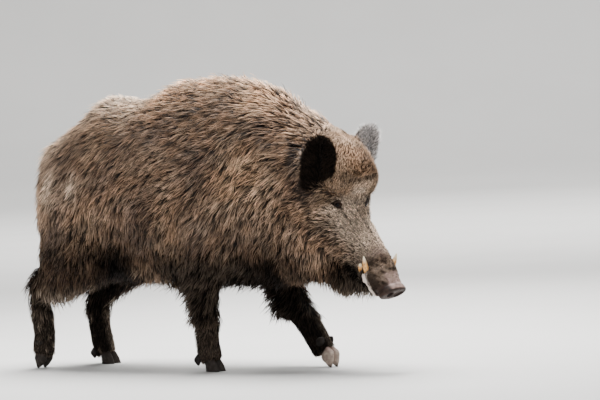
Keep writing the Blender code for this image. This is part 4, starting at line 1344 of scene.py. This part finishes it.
# Soft lights: name, setting of its power, size, place and the point that it shines at
LIGHTS = (
    ("overhead", "key", 2.6, (-0.2, 0.6, 3.4), (0, 0, 0.5)),
    ("beside camera", "fill", 2.2, (3.2, -3.4, 2.4), (0, 0, 0.5)),
    ("behind", "rim", 2.4, (-1.6, 3.0, 2.6), (0, 0, 0.6)),
    ("wall", "wall", 8.0, (-4.2, 7.6, 7.5), (-7.8, 12.4, 0.5)),
)
SKY_COLOUR = (0.86, 0.88, 0.92, 1)
SKY_STRENGTH = 0.50
# What the camera points at
AIM = (0.1851, 0.1650, 0.5121)
# The floor's line from the middle outwards: radius and height
FLOOR_LINE = [(15.5, 0.0), (17.0, 0.12), (18.0, 0.36), (19.0, 0.90), (20.5, 2.3), (22.0, 4.3), (24.0, 7.2),
              (25.5, 11.0), (26.0, 14.0)]


def soft_light(name, power, size, place, target):
    light = bpy.data.lights.new(name, "AREA")
    light.energy = power
    light.shape = "DISK"
    light.size = size
    item = placed(name, light)
    item.location = place
    item.rotation_euler = (Vector(target) - Vector(place)).to_track_quat("-Z", "Y").to_euler()


def make_sky():
    world = bpy.data.worlds.new("studio")
    bpy.context.scene.world = world
    world.use_nodes = True
    Nodes(world.node_tree).fill(world.node_tree.nodes["Background"], Color=SKY_COLOUR, Strength=SKY_STRENGTH)


def make_camera(stage):
    camera = bpy.data.cameras.new("camera")
    camera.lens = stage.lens
    camera.sensor_width = 36.0
    camera.clip_end = 200.0
    back = Vector((math.sin(stage.azimuth) * math.cos(stage.elevation),
                   -math.cos(stage.azimuth) * math.cos(stage.elevation), math.sin(stage.elevation)))
    view = placed("camera", camera)
    view.location = Vector(AIM) + back * stage.distance
    turn = back.to_track_quat("Z", "Y").to_matrix().to_4x4() @ Matrix.Rotation(stage.roll, 4, "Z")
    view.rotation_euler = turn.to_euler()
    bpy.context.scene.camera = view


def floor_material(colour):
    made, nodes, shader = new_material("stage floor")
    grain = nodes.ramp(nodes.noise(nodes.place(), 1.5), 0.3, 0.7)
    nodes.shade(shader, nodes.mix(grain, rgba(colour), rgba([value * 0.97 for value in colour])), 0.9)
    return made


def bowl_mesh():
    """A flat floor that rises smoothly to a wall far out, with no edge in sight."""
    shape = bmesh.new()
    rings = []
    corners = 96
    for radius, height in FLOOR_LINE:
        rings.append([shape.verts.new((radius * math.cos(turn), radius * math.sin(turn), height))
                      for turn in np.arange(corners) * 2 * math.pi / corners])
    shape.faces.new(rings[0])
    for inner, outer in zip(rings, rings[1:]):
        for corner in range(corners):
            following = (corner + 1) % corners
            shape.faces.new((inner[corner], outer[corner], outer[following], inner[following]))
    mesh = mesh_of(shape, "floor")
    mesh.shade_smooth()
    return mesh


# Operators

class BOAR_OT_skin(Operator):
    """Make the skin that replaces the nodes of flesh"""
    bl_idname = "boar.skin"
    bl_label = "Skin"

    def execute(self, context):
        make_skin()
        return {"FINISHED"}


class BOAR_OT_coat(Operator):
    """Grow the coat of tufts over the skin"""
    bl_idname = "boar.coat"
    bl_label = "Coat"

    def execute(self, context):
        make_coat(bpy.data.objects["boar_skin"])
        return {"FINISHED"}


class BOAR_OT_eyes(Operator):
    """Make both eyes"""
    bl_idname = "boar.eyes"
    bl_label = "Eyes"

    def execute(self, context):
        material = eye_material()
        for word, side in SIDES.items():
            mesh = make_eye("eyeball_" + word, side)
            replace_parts(link("eyeball_" + word, mesh, material), "eye_" + word)
        return {"FINISHED"}


class BOAR_OT_tusks(Operator):
    """Make the four tusks"""
    bl_idname = "boar.tusks"
    bl_label = "Tusks"

    def execute(self, context):
        material = ivory_material()
        for word in SIDES:
            for jaw in ("lower", "upper"):
                node = "tusk_%s_%s" % (jaw, word)
                mesh = rounded(node)
                set_attribute(mesh, "along", share_up(mesh_points(mesh) @ (UP - FORWARD * 0.4)))
                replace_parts(link("ivory_%s_%s" % (jaw, word), mesh, material), node)
        return {"FINISHED"}


class BOAR_OT_claws(Operator):
    """Make the claws and dewclaws of all feet"""
    bl_idname = "boar.claws"
    bl_label = "Claws"

    def execute(self, context):
        material = horn_material()
        for node in sorted(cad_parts):
            if "claw_" in node:
                mesh = rounded(node)
                height = share_up(mesh_points(mesh)[:, 2])
                worn = 0.0 if "dew" in node else 1.0 if node.startswith("claw_foreleg_left") else 0.06
                set_attribute(mesh, "height", height)
                set_attribute(mesh, "worn", np.full(len(height), worn))
                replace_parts(link(node.replace("claw", "hoof"), mesh, material), node)
        return {"FINISHED"}


class BOAR_OT_stage(Operator):
    """Set up floor, soft light and camera"""
    bl_idname = "boar.stage"
    bl_label = "Stage"

    def execute(self, context):
        stage = context.scene.boar.stage
        mesh = bowl_mesh()
        mesh.materials.append(floor_material(stage.floor))
        placed("floor", mesh)
        make_sky()
        for name, power, size, place, target in LIGHTS:
            soft_light(name, getattr(stage, power), size, place, target)
        make_camera(stage)
        return {"FINISHED"}


STEPS = (BOAR_OT_skin, BOAR_OT_coat, BOAR_OT_eyes, BOAR_OT_tusks, BOAR_OT_claws, BOAR_OT_stage)


class BOAR_PT_panel(Panel):
    """Lists the steps and settings of the boar"""
    bl_idname = "BOAR_PT_panel"
    bl_label = "Wild Boar"
    bl_space_type = "VIEW_3D"
    bl_region_type = "UI"
    bl_category = "Boar"

    def draw(self, context):
        for step in STEPS:
            self.layout.operator(step.bl_idname)
        for settings in (context.scene.boar.coat, context.scene.boar.colours, context.scene.boar.stage):
            box = self.layout.box()
            for name in settings.__annotations__:
                box.prop(settings, name)


CLASSES = (BoarCoatSettings, BoarColourSettings, BoarStageSettings, BoarSettings) + STEPS + (BOAR_PT_panel,)


def register():
    for item in CLASSES:
        bpy.utils.register_class(item)
    bpy.types.Scene.boar = PointerProperty(type=BoarSettings)


def unregister():
    del bpy.types.Scene.boar
    for item in reversed(CLASSES):
        bpy.utils.unregister_class(item)


def main():
    register()
    bpy.ops.boar.skin()
    bpy.ops.boar.coat()
    bpy.ops.boar.eyes()
    bpy.ops.boar.tusks()
    bpy.ops.boar.claws()
    bpy.ops.boar.stage()


if __name__ == "__main__":
    main()
